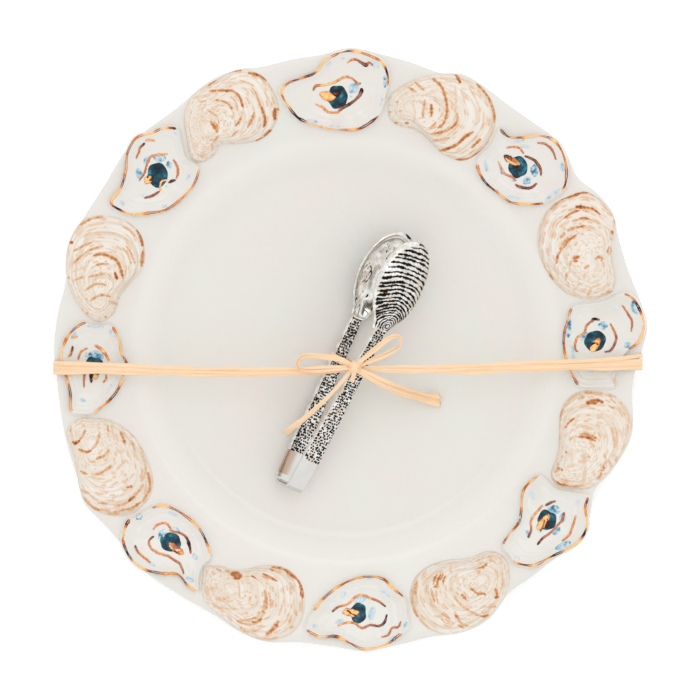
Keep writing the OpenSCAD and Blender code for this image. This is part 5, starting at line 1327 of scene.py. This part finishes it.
def polished_steel():
    """Polished steel with fine marks along the strip, and a painted reflection, warm in colour,
    low on the lower leg.
    """
    material, tree, shader = new_finish("polished_steel", Metallic=1.0)
    place = node(tree, "ShaderNodeTexCoord").outputs["Object"]
    streaks = node(tree, "ShaderNodeMapping", {"Vector": place, "Rotation": brush_turn,
                                               "Scale": brush_stretch})
    brushed = noise(tree, brush_scale, 3, vector=streaks.outputs[0])
    steel = mixed(tree, noise(tree, steel_scale, 2), steel_pale, steel_grey)
    steel = mixed(tree, attribute(tree, "warm"), steel, steel_painted_reflection)
    tree.links.new(steel, shader.inputs["Base Color"])
    low, high = steel_rough
    tree.links.new(remap(tree, brushed, to_low=low, to_high=high), shader.inputs["Roughness"])
    return material


bright_steel = polished_steel()


def half_bow(name, side):
    """Half of the strip, from the middle of the bow round its corner into the lap of the shank."""
    middle = np.array([corner_x, -corner_y])
    angles = np.linspace(math.pi, 1.5 * math.pi - spread, corner_steps)
    path = [np.array([strip_t / 2, -y]) for y in np.linspace(0, corner_y, end_steps)[:-1]]
    path += [middle + mid_r * np.array([math.cos(a), math.sin(a)]) for a in angles]
    path += [hinge + leg_along * d for d in np.linspace(0, strip_show + strip_tuck, leg_steps)[1:]]
    path = np.array(path)
    ahead = unit(np.gradient(path, axis=0))
    out = np.column_stack([ahead[:, 1], -ahead[:, 0]])
    y, z, _ = bar_section(strip_t, strip_w, strip_edge, strip_edge, *strip_points)
    flat = path[:, None] + out[:, None] * y[0][None, :, None]
    points = np.dstack([flat[..., 0], flat[..., 1] * side, np.broadcast_to(z[0], flat.shape[:2])])
    # Painted reflection: a warm cast on the lower leg's low side, away from the middle of the bow.
    beyond = np.linalg.norm(path - path[0], axis=1) > reflection_from
    warm = s_curve((z[0] - reflection_low) / reflection_wide) * (side < 0) * beyond[:, None]
    piece = add_piece(name, laid(points.reshape(-1, 3)), capped_tube(len(path), y.shape[1]),
                      [bright_steel], None, {"warm": warm.reshape(-1)})
    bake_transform(piece)
    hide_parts("tongs_bow")


half_bow("bow_upper_half", 1)
half_bow("bow_lower_half", -1)

# Arms of the tongs: two silver-plated castings brazed onto the legs of the bow. Each has a
# hammered shank full of small pits and a bowl like an oyster shell, ribbed on its back. The
# plating is blackened and rubbed bright again, so that pits and grooves stay dark.
shank_w, neck_w = 12.6, 7.4
shank_rows, shank_points = 430, (44, 9, 8)
shank_round, shank_end, neck_end = (0.55, 1.5), 2.9, 5
pit_step, pit_depth = 1.7, 0.45
pit_share_missing, pit_sizes, pit_depths, pit_shapes = 0.07, (0.56, 0.82), (0.7, 1.1), (0.8, 1.25)
pit_stray_along, pit_stray_across, pit_crowding = (-0.42, 0.42), (-0.3, 0.3), 0.28
shank_wave_h, shank_wave, heel_room, heel_clear = 0.06, 3.5, 12, 0.3
bright_edge, edge_fade = 0.15, 0.5
rib_first, rib_last, rib_start, rib_grows = 1.5, 2.75, 1.2, 34
rib_cut, rib_proud = 0.42, 0.22
rib_uneven, rib_half, rib_half_least = (0.8, 1.2), 0.6, 0.16
rib_narrow = [4, 16], [0.6, 1]
rib_side, rib_side_grows, back_fade, hollow_fade = 0.82, 0.3, 0.004, 0.15
rib_worn, rib_worn_from, rib_worn_grows = 0.8, 0.9, 0.05
rib_strength, rib_strength_range = 0.92, (0.35, 1)
lip_proud, lip_rough, back_pole, whorl_wide = 0.18, 0.06, 0.2, 1.04
stain_tone, crease_half, crease_soft, stain_fade, stain_patch = 0.9, 0.12, 0.06, 0.1, 12
bowl_turns, back_rings, hollow_rings = 260, 230, 60
heel_share, belly_share = 0.2, 0.62
whorl_x, whorl_z = 5.0, -1.5
bowl_shares = [
    [0, 0.24], [0.1, 0.42], [0.24, 0.72], [0.4, 0.93], [0.56, 1], [0.74, 0.92], [0.89, 0.66],
    [0.98, 0.24], [0.99, -0.2], [0.92, -0.62], [0.78, -0.88], [0.58, -1], [0.4, -0.97],
    [0.23, -0.8], [0.1, -0.48], [0, -0.24]
]
silver_bright, silver_grey = (0.93, 0.92, 0.89), (0.68, 0.67, 0.64)
silver_tan_reflection, silver_black = (0.70, 0.60, 0.49), (0.018, 0.015, 0.012)
silver_scale, tan_reflection_scale, speck_scale = 240, 110, 1500
speck_tone, speck_shift = 0.16, -0.08
black_from, black_full, silver_rough = 0.18, 0.4, (0.17, 0.6)


def antique_silver():
    """Silver plate, bright and grey in patches, with painted tan reflections in places and black in
    the pits and grooves.
    """
    material, tree, shader = new_finish("antique_silver", Metallic=1.0)
    grain = reckon(tree, "MULTIPLY_ADD", noise(tree, speck_scale, 3), speck_tone, speck_shift)
    black = remap(tree, reckon(tree, "ADD", attribute(tree, "dark"), grain), black_from, black_full)
    silver = mixed(tree, noise(tree, silver_scale, 3), silver_bright, silver_grey)
    # Painted reflection: warm tan patches over the silver.
    silver = mixed(tree, noise(tree, tan_reflection_scale, 2, 0.52, 0.72), silver, silver_tan_reflection)
    tree.links.new(mixed(tree, black, silver, silver_black), shader.inputs["Base Color"])
    low, high = silver_rough
    tree.links.new(remap(tree, black, to_low=low, to_high=high), shader.inputs["Roughness"])
    return material


blackened = antique_silver()


def bowl_y(share, x, depth):
    """How far the bowl lies from the plane of its lip, fuller towards its tip."""
    return depth * np.sqrt(np.clip(1 - share ** 2, 0, 1)) * (1 - belly_share / 2 + belly_share * x / bowl_l)


def pitted_shank(seed):
    """The shank in the arm's own place: points, faces and how dark each point is."""
    x = np.linspace(strip_show, neck_x + shank_end, shank_rows)
    share = (x - strip_show) / (neck_x + neck_end - strip_show)
    wide = shank_w + (neck_w - shank_w) * share
    y, z, out = bar_section(shank_t, wide, *shank_round, *shank_points)
    path = travelled(np.column_stack([y[0], z[0]]))
    total = path[-1] + math.hypot(y[0][0] - y[0][-1], z[0][0] - z[0][-1])
    around = path / total
    rng = np.random.default_rng(seed)
    dip, dark = np.zeros(y.shape), np.zeros(y.shape)
    rows, columns = int((x[-1] - x[0]) / pit_step), int(total / pit_step)
    for i in range(rows):
        row_x = x[0] + (i + 0.5) * pit_step
        nearest = min(int((row_x - x[0]) / (x[1] - x[0])), shank_rows - 1)
        squeeze = 1 - pit_crowding * share[nearest]
        for j in range(columns):
            if rng.random() < pit_share_missing:
                continue
            pit_x = row_x + rng.uniform(*pit_stray_along)
            pit_at = (j + 0.5 * (i % 2) + rng.uniform(*pit_stray_across)) / columns
            radius = rng.uniform(*pit_sizes)
            depth = rng.uniform(*pit_depths)
            a, b = np.searchsorted(x, (pit_x - radius * 1.3, pit_x + radius * 1.3))
            gap = (around - pit_at + 0.5) % 1 - 0.5
            along = (x[a:b, None] - pit_x) * rng.uniform(*pit_shapes)
            away = np.hypot(along, gap * total * squeeze) / radius
            dip[a:b] = np.maximum(dip[a:b], np.clip(1 - away ** 2, 0, 1) * depth)
            dark[a:b] = np.maximum(dark[a:b], np.clip(1.25 - away ** 1.5, 0, 1))
    kept = s_curve((wide[:, None] / 2 - bright_edge - z) / edge_fade)
    unevenness = shank_wave_h * ripple(x[:, None] * np.ones_like(z), z * 2 + y, seed + 1, shank_wave)
    depth = dip * pit_depth * kept - unevenness
    y, z = y - out[:, 0] * depth, z - out[:, 1] * depth
    sunk = x - neck_x
    heel = bowl_y(1 - np.clip(sunk, 0, heel_room) / (heel_share * bowl_l), sunk, bowl_h)
    wall = shank_t / 2 + heel_clear - (heel - sunk * math.sin(toe_in))
    limit = np.where(sunk > 0, wall, shank_t)[:, None]
    y = np.minimum(y, np.maximum(limit, -shank_t / 2 + 0.02))
    points = np.dstack([np.broadcast_to(x[:, None], y.shape), y, z]).reshape(-1, 3)
    return points, capped_tube(shank_rows, y.shape[1]), {"dark": (dark * kept).reshape(-1)}


whorl_fine, whorl_broad = (0.2, 2.4), (0.4, 13)
rib_sway, rib_nick, rib_break, back_grain = (0.22, 6), (0.11, 1.3), (0.3, 12), (0.06, 1.6)
dent_broad, dent_fine, crease_wave = (0.2, 11), (0.035, 3.5), (1, 10)


def swell(x, z, seed, size):
    """A ripple of the bowl, given by its height and the length of its waves."""
    height, length = size
    return height * ripple(x, z, seed, length)


def shell_bowl(seed):
    """The bowl in its own place, the hollow towards +Y: a ribbed back, a lip and a hollow."""
    border = smooth_loop(bowl_shares, bowl_turns) * [bowl_l, bowl_w / 2]
    heel = np.array([heel_share * bowl_l, 0])
    turn = np.linspace(0, 2 * np.pi, bowl_turns, endpoint=False)
    inner = 1 - bowl_t / (bowl_w / 2)

    def side(angles, size):
        reach = np.cos(np.radians(angles))
        flat = heel + (border - heel)[None] * (reach * size)[:, None, None]
        return flat[..., 0], flat[..., 1], np.broadcast_to(reach[:, None], flat.shape[:2])

    x, z, share = side(np.linspace(89, 0, back_rings), 1)
    back = np.dstack([x, -bowl_y(share, x, bowl_h), z])
    rho = np.hypot(x - whorl_x, whorl_wide * (z - whorl_z))
    rho = rho + swell(x, z, seed, whorl_fine) + swell(x, z, seed + 1, whorl_broad)
    grooves = [rib_start]
    rng = np.random.default_rng(seed + 2)
    while grooves[-1] < bowl_l + 4:
        step = rib_first + (rib_last - rib_first) * s_curve(grooves[-1] / rib_grows)
        grooves.append(grooves[-1] + step * rng.uniform(*rib_uneven))
    cut = np.zeros(x.shape)
    for k, place in enumerate(grooves):
        wide = rib_half + swell(x, z, seed + 10 + k, rib_sway) + swell(x, z, seed + 60 + k, rib_nick)
        wide = np.maximum(wide, rib_half_least) * (rib_side + rib_side_grows * s_curve(0.5 + z / bowl_w))
        wide = wide * np.interp(place, *rib_narrow)
        strength = np.clip(rib_strength + swell(x, z, seed + 110 + k, rib_break), *rib_strength_range)
        strength = strength * (1 - rib_worn * s_curve((share - rib_worn_from) / rib_worn_grows) * (z > 0))
        cut = np.maximum(cut, hump(rho - place, wide) * strength)
    du, dv = np.gradient(back, axis=0), np.roll(back, -1, 1) - np.roll(back, 1, 1)
    normal = unit(np.cross(du, dv))
    normal *= np.where(normal[..., 1:2] > 0, -1, 1)
    rise = rib_proud - rib_cut * cut + swell(x, z, seed + 3, back_grain)
    back = back + normal * (rise * s_curve((1 - share) / back_fade))[..., None]
    lip = heel + (border - heel) * (1 + inner) / 2
    lip_rise = lip_proud + lip_rough * waves(turn, seed + 5, 6, 3, 14)
    lip = np.column_stack([lip[:, 0], lip_rise, lip[:, 1]])
    x, z, share = side(np.linspace(0, 88, hollow_rings), inner)
    dents = swell(x, z * 1.6, seed + 6, dent_broad) + swell(x, z, seed + 7, dent_fine)
    dents = dents * s_curve((1 - share) / hollow_fade)
    hollow = np.dstack([x, -bowl_y(share, x, bowl_h - bowl_t) + dents, z])
    crease = np.abs(swell(x * 0.5, z * 1.7, seed + 8, crease_wave))
    stain_and_fold_shade = stain_tone * s_curve((crease_half - crease) / crease_soft)
    stain_and_fold_shade = stain_and_fold_shade * s_curve((1 - share) / stain_fade) * (ripple(x, z, seed + 9, stain_patch) > 0)
    ends = [[heel[0], -bowl_y(0.0, heel[0], bowl_h) - back_pole, 0],
            [heel[0], -bowl_y(0.0, heel[0], bowl_h - bowl_t), 0]]
    points = np.concatenate([np.concatenate([back, lip[None], hollow]).reshape(-1, 3), ends])
    rings = back_rings + 1 + hollow_rings
    last = rings * bowl_turns
    faces = tube_faces(rings, bowl_turns) + fan_faces(0, bowl_turns, last)
    faces += fan_faces(last - bowl_turns, bowl_turns, last + 1)
    dark = np.concatenate([cut.reshape(-1), np.zeros(bowl_turns), stain_and_fold_shade.reshape(-1), [0, 0]])
    return points @ spin(2, toe_in).T + [neck_x, shank_t / 2, 0], faces, {"dark": dark}


def arm(name, side, body, node_name, seed):
    points, faces, numbers = joined([pitted_shank(seed), shell_bowl(seed + 50)])
    placed = points @ spin(2, -spread).T + np.append(hinge, 0)
    piece = add_piece(name, laid(placed * [1, side, 1]), faces, [blackened], body, numbers)
    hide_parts(node_name)


arm("upper_arm_cast", 1, "upper_arm", "tongs_upper_arm", 3000)
arm("lower_arm_cast", -1, "lower_arm", "tongs_lower_arm", 3400)


# Raffia band: a few flat strands of dried palm leaf, drawn taut round the plate. They cross the
# lips of two open shells, fold over the edge and lie pressed flat in a seat under the foot.
raffia_t = 0.4
band_w = 6
tie_along_share = 0.76
tie_gap, tie_slack, tie_side_slack, knot_lift = 0.3, 2, 0.4, 1.9
strand_t = 0.26
band_strands, strand_half_max = 4, 1.25
band_wide_at = [(-176, 8.8), (-150, 7.4), (-60, 6.2), (-20, 5.0), (4, 2.8), (30, 5.0), (60, 6.8),
                (140, 7.2), (165, 8.8), (178, 11.8)]
under_wide = 5.9
lip_left_px, lip_right_px = [62, 367], [625.3, 362]
band_slack = 0.5
band_sag = 3.0, 2.2
tie_x = hinge[0] + neck_x * tie_along_share
tie_from, tie_to = tie_x - band_w / 2, tie_x + band_w / 2
tie_share = (tie_from - hinge[0] - strip_show) / (neck_x + neck_end - strip_show)
tie_y = leg_y + (tie_to - hinge[0]) * math.tan(spread) + shank_t / 2 + tie_gap
tie_z = (shank_w + (neck_w - shank_w) * tie_share) / 2 + tie_gap
knot_at = laid([tie_x, -tie_y - raffia_t, tie_z + raffia_t]) + [0, 0, knot_lift]
foot_edge = foot_r + band_slack
band_step, band_under_knot, strand_overlap = 2.4, 1.2, 0.34
band_wave, band_wander, band_lift, band_fold = 26, 0.14, 0.24, (0.16, 0.01)
straw_pale, straw_gold = (0.990, 0.780, 0.560), (0.975, 0.730, 0.490)
straw_fibre, straw_crease_shade = (0.955, 0.655, 0.390), (0.880, 0.490, 0.220)
fibre_scale, patch_scale = 5.5, 60


def straw_finish():
    """Pale straw with fine fibres along each strand, darker where painted shade lies in its
    creases and along its edges.
    """
    material, tree, shader = new_finish("raffia_straw", Roughness=0.5, Sheen_Weight=0.15)
    place = node(tree, "ShaderNodeCombineXYZ", {0: attribute(tree, "across"), 1: attribute(tree, "along")})
    fibres = noise(tree, fibre_scale, 4, 0.3, 0.7, place.outputs[0])
    pale = mixed(tree, noise(tree, patch_scale, 2), straw_pale, straw_gold)
    streaked = mixed(tree, fibres, pale, straw_fibre)
    colour = mixed(tree, attribute(tree, "folded"), streaked, straw_crease_shade)
    tree.links.new(colour, shader.inputs["Base Color"])
    bump(tree, shader, fibres, 0.3, 0.0003)
    return material


straw = straw_finish()
corner_stops, run_from, run_to = [0, 0.5, 1.1], 2, 1.4


def refined(corners, closed, step):
    """Points along straight runs between corners, closer together by the corners, softened."""
    corners = np.asarray(corners, float)
    ends = np.roll(corners, -1, 0) if closed else corners[1:]
    points = []
    for a, b in zip(corners, ends):
        length = np.linalg.norm(b - a)
        stops = np.concatenate([corner_stops, np.arange(run_from, length - run_to, step),
                                length - np.array(corner_stops[:0:-1])])
        stops = np.unique(np.clip(stops, 0, length * 0.999))
        points += [a + (b - a) * s / length for s in stops]
    points = np.array(points)
    for _ in range(2):
        soft = (np.roll(points, 1, 0) + 2 * points + np.roll(points, -1, 0)) / 4
        points = soft if closed else np.concatenate([points[:1], soft[1:-1], points[-1:]])
    return points


strand_offsets = np.array([-1, -0.93, -0.75, -0.55, -0.35, -0.15, 0.05, 0.25, 0.45, 0.65, 0.85, 0.95, 1])
crease_count, crease_wide, crease_sharp, crease_wander = 4, 0.22, 1.3, 0.25
crease_places, crease_depths = (-0.9, 0.9), (0.4, 1)
bow_depths, bow_middle, bow_full_half = (0.3, 0.9), 0.4, 0.9
place_sway, depth_sway, bow_sway, width_sway = (9, 22), (6, 15), (12, 25), (3, 6)
width_uneven, edge_thin, fray, fray_turns = 0.08, 0.75, 0.35, 9
fold_tone, edge_tone, edge_from = (0.9, 0.1, 0.75), 0.35, 0.9
fibre_spread, fibre_length, fibre_shift = 1.1, 38, 7.3
cut_ends = ((-1, 1.0), (-2, 0.6), (-3, 0.25))


def ribbon(path, side, half, seed, fold=0.2, closed=False, slant=0.0):
    """A flat strand along a path, folded lengthwise in small creases: points, faces, numbers."""
    path, half = np.asarray(path, float), np.broadcast_to(half, len(path))
    ahead = unit(np.roll(path, -1, 0) - np.roll(path, 1, 0) if closed else np.gradient(path, axis=0))
    side = unit(side - ahead * (side * ahead).sum(1, keepdims=True))
    up = np.cross(side, ahead)
    travel = travelled(path)
    v = strand_offsets
    rng = np.random.default_rng(seed)

    def sway(shortest, longest):
        return np.sin(travel / rng.uniform(shortest, longest) + rng.uniform(0, 6))

    folds = np.zeros((len(path), len(v)))
    for k in range(crease_count):
        place = rng.uniform(*crease_places) + crease_wander * sway(*place_sway)
        depth = rng.uniform(*crease_depths) * (0.6 + 0.4 * sway(*depth_sway))
        crease = np.exp(-np.abs((v[None] - place[:, None]) / crease_wide) ** crease_sharp)
        folds += depth[:, None] * (1 if k % 2 else -1) * crease
    bow = rng.uniform(*bow_depths) * sway(*bow_sway)
    lift = fold * (folds + bow[:, None] * (v[None] ** 2 - bow_middle))
    lift = lift * np.minimum(1, half / bow_full_half)[:, None]
    width = half * (1 + width_uneven * sway(*width_sway))
    thick = strand_t / 2 * (1 - edge_thin * v ** 6)
    flat = path[:, None] + side[:, None] * (v[None] * width[:, None])[..., None]
    top = flat + up[:, None] * (lift + thick)[..., None]
    low = flat + up[:, None] * (lift - thick)[..., None]
    if slant:
        shift = ahead[-1] * (slant * v + fray * np.sin(v * fray_turns + seed))[:, None]
        for k, part in cut_ends:
            top[k] += shift * part
            low[k] += shift * part
    points = np.concatenate([top, low[:, ::-1]], 1).reshape(-1, 3)
    rings, sides = len(path), 2 * len(v)
    if closed:
        faces = tube_faces(rings, sides) + joining_faces((rings - 1) * sides, 0, sides)
    else:
        faces = capped_tube(rings, sides)
    # Painted shade: darker in the inward creases and along the strand's edges.
    steep, least, most = fold_tone
    sunk = np.clip(-folds * steep - least, 0, 1) * most + edge_tone * (np.abs(v) > edge_from)[None]
    across = v[None] * width[:, None] / fibre_spread + seed * fibre_shift
    along = np.broadcast_to(travel[:, None] / fibre_length, folds.shape)
    numbers = {"folded": sunk, "across": across, "along": along}
    return points, faces, {k: np.concatenate([a, a[:, ::-1]], 1).reshape(-1) for k, a in numbers.items()}


def add_strands(name, strands, node_name):
    """One raffia piece made of several strands."""
    points, faces, numbers = joined(strands)
    piece = add_piece(name, points, faces, [straw], "plate", numbers)
    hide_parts(node_name)
    return piece


def band_y(x):
    """Where the band runs across the plate, with its sag between the rim and the knot."""
    ends = [band_left[0], knot_at[0], band_right[0]]
    out = 1 - np.abs(np.interp(x, ends, [-1, 0, 1]))
    sag = np.where(x < knot_at[0], *band_sag) * np.sin(np.pi * (1 - out) ** 0.6)
    return np.interp(x, ends, [band_left[1], knot_at[1], band_right[1]]) - sag


def over_lip(x):
    """The height of the band where it crosses the lip of an open shell."""
    return rim_at(np.array([x, 0.0])) + seat_gap + lip_h + band_slack


def raffia_band():
    lip_left, lip_right = plan(lip_left_px)[0], plan(lip_right_px)[0]
    left, right = band_left[0] - band_slack, band_right[0] + band_slack
    left_z, right_z = rim_at(band_left), rim_at(band_right)
    corners = [
        [knot_at[0], knot_at[2] - band_under_knot], [lip_right, over_lip(lip_right)], [right, right_z],
        [right, right_z - edge_t], [right - 2 * band_slack, right_z - edge_t - 2 * band_slack],
        [foot_edge, raffia_t / 2], [-foot_edge, raffia_t / 2],
        [left + 2 * band_slack, left_z - edge_t - 2 * band_slack], [left, left_z - edge_t],
        [left, left_z], [lip_left, over_lip(lip_left)]
    ]
    x, z = refined(corners, True, band_step).T
    under = s_curve((floor_z + 1 - z) / 4) * (np.abs(x) < plate_r)
    over = 1 - under
    middle = band_y(x) * over + raffia_seat_y * under
    wide = np.interp(x, *zip(*band_wide_at)) * over + under_wide * under
    half = np.minimum(wide / band_strands / 2 * (1 + strand_overlap * over), strand_half_max)
    side = np.tile([0.0, 1.0, 0.0], (len(x), 1))
    fold = band_fold[0] * over + band_fold[1]
    strands = []
    for k in range(band_strands):
        place = (k + 0.5) / band_strands * 2 - 1
        wander = band_wander * wide * waves(x / band_wave, 4000 + k, 4, 1, 4) * over * (1 - 0.6 * abs(place))
        y = middle + place * (wide / 2 - half / 2 - 0.1) * over + place * (wide / 2) * under + wander
        lift = band_lift * (k % 2) * over * (z > 20)
        path = np.column_stack([x, y, z + lift])
        strands.append(ribbon(path, side, half, 4100 + k, fold[:, None], closed=True))
    add_strands("raffia_band_strands", strands, "raffia_band")


raffia_band()

# Raffia tie and knot: the band's strands go once round both shanks, tight on top and slack
# beneath, and are tied over them. A short tuck of the knot hangs down on the upper shank.
tie_step = 1.6
tie_strands = ((-1.9, 0.7), (-0.4, 0.8))
tie_fold, tie_wander = 0.1, 0.25
knot_size = (4.1, 3.4, 2.7)
knot_rings, knot_sides, knot_phase, knot_pole = 26, 44, 1.3, 0.06
knot_creases, knot_crease, knot_lump, knot_tones = 9, 0.05, 0.04, (0.45, 0.4)
straps = [(-0.95, 0.3, (3.9, 2.75), 1.3), (0.75, -0.4, (3.8, 2.85), 1.2),
          (-0.12, -0.75, (3.85, 3.15), 1.15), (-0.22, 0.85, (3.7, 3.05), 1.0)]
strap_steps, strap_fold = 44, 0.16
tuck_route = [[0.2, -1.6, 2.2], [-0.3, -3.6, 1.6], [-0.8, -5.6, 0.1], [-1.4, -7.4, -1.6], [-2.0, -8.9, -3.0]]
tuck_steps, tuck_side, tuck_half = 18, [1.0, -0.25, 0.0], (1.1, 1.7)


def raffia_tie():
    t = raffia_t / 2
    loop = np.array([
        [-tie_y - t, tie_z], [-tie_y, tie_z + t], [tie_y, tie_z + t],
        [tie_y + tie_side_slack + t, tie_z - tie_side_slack], [tie_y + tie_side_slack + t, -tie_z],
        [tie_y, -tie_z - tie_slack - t], [-tie_y + tie_side_slack, -tie_z - tie_slack - t],
        [-tie_y - t, -tie_z]
    ])
    route = refined(loop, True, tie_step)
    turn = np.linspace(0, 2 * np.pi, len(route), endpoint=False)
    strands = []
    for k, (place, half) in enumerate(tie_strands):
        x = tie_x + place + tie_wander * waves(turn, 4200 + k, 4, 1, 3)
        path = laid(np.column_stack([x, route]))
        side = np.tile(tongs_turn[:, 0], (len(path), 1))
        strands.append(ribbon(path, side, half, 4210 + k, tie_fold, closed=True))
    add_strands("raffia_tie_strands", strands, "raffia_wrap")


def knot_core():
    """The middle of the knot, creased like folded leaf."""
    polar = np.linspace(knot_pole, math.pi - knot_pole, knot_rings)[:, None]
    turn = np.linspace(0, 2 * math.pi, knot_sides, endpoint=False)[None]
    creases = np.sin(turn * knot_creases + 2 * polar)
    grow = 1 + knot_crease * creases + knot_lump * np.sin(turn * 5 - 3 * polar + knot_phase)
    x = knot_size[0] * np.cos(polar) * grow
    y = knot_size[1] * np.sin(polar) * np.cos(turn) * grow
    z = knot_size[2] * np.sin(polar) * np.sin(turn) * grow
    ends = [[knot_size[0], 0, 0], [-knot_size[0], 0, 0]]
    points = np.concatenate([np.dstack([x, y, z]).reshape(-1, 3), ends]) + knot_at
    last = knot_rings * knot_sides
    faces = tube_faces(knot_rings, knot_sides) + fan_faces(0, knot_sides, last)
    faces += fan_faces(last - knot_sides, knot_sides, last + 1)
    # Painted shade: the knot's middle is darker overall, and darker still in its creases.
    numbers = {"folded": knot_tones[0] + knot_tones[1] * creases, "across": turn * 1.6, "along": polar * 0.1}
    return points, faces, {key: np.append(np.broadcast_to(values, creases.shape), [0, 0])
                           for key, values in numbers.items()}


def strap(tilt, shift, reach, half, seed):
    """A strand laid once round the knot, in a plane that is turned about the vertical."""
    turn = np.linspace(0, 2 * math.pi, strap_steps, endpoint=False)
    ring = np.column_stack([np.full(strap_steps, shift), reach[0] * np.cos(turn), reach[1] * np.sin(turn)])
    about = spin(2, tilt)
    side = np.tile(about @ np.array([1.0, 0, 0]), (strap_steps, 1))
    return ribbon(knot_at + ring @ about.T, side, half, seed, strap_fold, closed=True)


def raffia_knot():
    strands = [knot_core()] + [strap(*given, 4310 + k) for k, given in enumerate(straps)]
    tuck = smooth_line(knot_at + np.array(tuck_route), tuck_steps)
    side = np.tile(tuck_side, (tuck_steps, 1))
    strands.append(ribbon(tuck, side, np.linspace(*tuck_half, tuck_steps), 4320, slant=0.5))
    add_strands("raffia_knot_tied", strands, "raffia_knot")


raffia_tie()
raffia_knot()

# Raffia bow: two loops and two tails of the same flat strands, stiff enough to stand out from
# the knot over the well. The tails were cut on a slant and have opened flat at their ends.
loop_left_route = [
    [-1, 0.6, 1.4], [-7, 4, 1.4], [-14, 5.5, 1], [-22, 6.5, 0.4], [-29, 6.6, 0], [-33, 5, -0.3],
    [-34.5, 1.5, -0.8], [-32, -1.2, -1.2], [-26, -1.6, -1.2], [-18, -1.2, -0.8],
    [-10, -0.6, -0.2], [-2.5, -0.3, 0.4]
]
loop_right_route = [
    [1, 0.6, 1.4], [5, 4.5, 1.6], [11, 9.5, 2], [17, 14.5, 2], [22, 18, 1.5], [26, 18.5, 0.8],
    [28, 15.5, 0.2], [27, 11.5, 0], [22, 8.5, 0], [15, 5.5, 0.2], [8, 2.6, 0.4], [2.5, 0.3, 0.4]
]
tail_left_route = [
    [-1, -1, -0.5], [-5.5, -6, -0.9], [-11, -12.5, -3.5], [-18, -20, -8.2], [-25, -26.5, -11.6],
    [-31.5, -32, -14.2], [-37.5, -36.5, -19], [-41, -40, -25.4]
]
tail_right_route = [
    [1.5, -1.4, -0.5], [8, -4.6, -0.8], [15, -8.4, -3], [23, -12, -8.5], [31, -15, -16],
    [38, -17, -23], [44, -18.5, -28], [51, -19.5, -30.6]
]


def strand_on(route, count, shift, rise, half, roll, seed, slant=0.0):
    """A strand beside a route through the air: shifted in its own plane, raised and rolled."""
    path = smooth_line(knot_at + np.array(route, float), count)
    ahead = unit(np.gradient(path, axis=0))
    side = unit(np.cross(ahead, [0.0, 0.0, 1.0]))
    up = np.cross(side, ahead)
    share = np.linspace(0, 1, count)
    shift, rise, half, roll = (np.interp(share, np.linspace(0, 1, len(a)), a)
                               for a in (shift, rise, half, roll))
    placed = path + side * shift[:, None] + up * rise[:, None]
    turned = side * np.cos(roll)[:, None] + up * np.sin(roll)[:, None]
    return ribbon(placed, turned, half, seed, slant=slant)


def free_strands(name, route, count, strands):
    """A loop or a tail. Each strand has its shift, rise, half width and roll at even steps of the
    route, a seed, and how far its end is slanted."""
    made = add_strands(f"{name}_strands", [strand_on(route, count, *s) for s in strands], name)


free_strands("raffia_loop_left", loop_left_route, 96, [
    ([0.3, 0.8, 0.7, 0.4, 1.1, 0.3], [0.1, 0.1, 0.2, 0.1], [0.9, 1.1, 0.85, 0.75, 1.15, 0.9],
     [0.2, 0.3, 0.5, 0.8, 0.5, 0.2], 4401),
    ([-0.4, -0.9, -0.8, -0.7, -1.3, -0.4], [-0.2, -0.2, 0.1, -0.2],
     [0.8, 0.85, 0.7, 0.7, 0.95, 0.8], [-0.2, -0.2, 0.4, 0.7, -0.2, 0.1], 4402),
])
free_strands("raffia_loop_right", loop_right_route, 96, [
    ([0.2, 0.5, 0.7, 0.4, -0.6, 0.2], [0.1, 0.1, 0.2, 0.1], [0.9, 1.1, 0.85, 0.75, 1.05, 0.9],
     [0.2, 0.2, 0.5, 0.8, 0.4, 0.2], 4411),
    ([-0.5, -0.9, -0.7, -0.5, 1.6, 1.3, -0.2], [-0.2, -0.2, 0.1, 0.3, 0.0],
     [0.8, 0.85, 0.7, 0.7, 0.85, 0.8], [-0.1, -0.3, 0.4, 0.9, 0.2, 0.1], 4412),
])
free_strands("raffia_tail_left", tail_left_route, 84, [
    ([0.3, 0.3, 0.4, 0.5], [0.1, 0.1], [0.8, 0.8, 1.0, 1.5, 2.0], [0.1, 0.3, 0.1, 0.0], 4421, 0.8),
    ([-0.5, -0.5, -0.5, -0.6], [-0.2, -0.2], [0.7, 0.7, 0.8, 1.1, 1.5], [-0.1, -0.2, 0.0, -0.1], 4422, -0.7),
])
free_strands("raffia_tail_right", tail_right_route, 90, [
    ([0.5, 0.8, 0.9, 0.6, 0.3], [0.0, 0.0], [1.4, 2.2, 2.6, 2.9, 4.0], [0.1, 0.2, 0.1, 0.0], 4431, 1.0),
    ([-0.7, -1.3, -1.7, -1.5, -0.8], [0.35, 0.4, 0.35], [1.0, 1.2, 1.3, 1.2, 1.3],
     [-0.2, 0.2, 0.3, 0.2], 4432, -0.6),
])
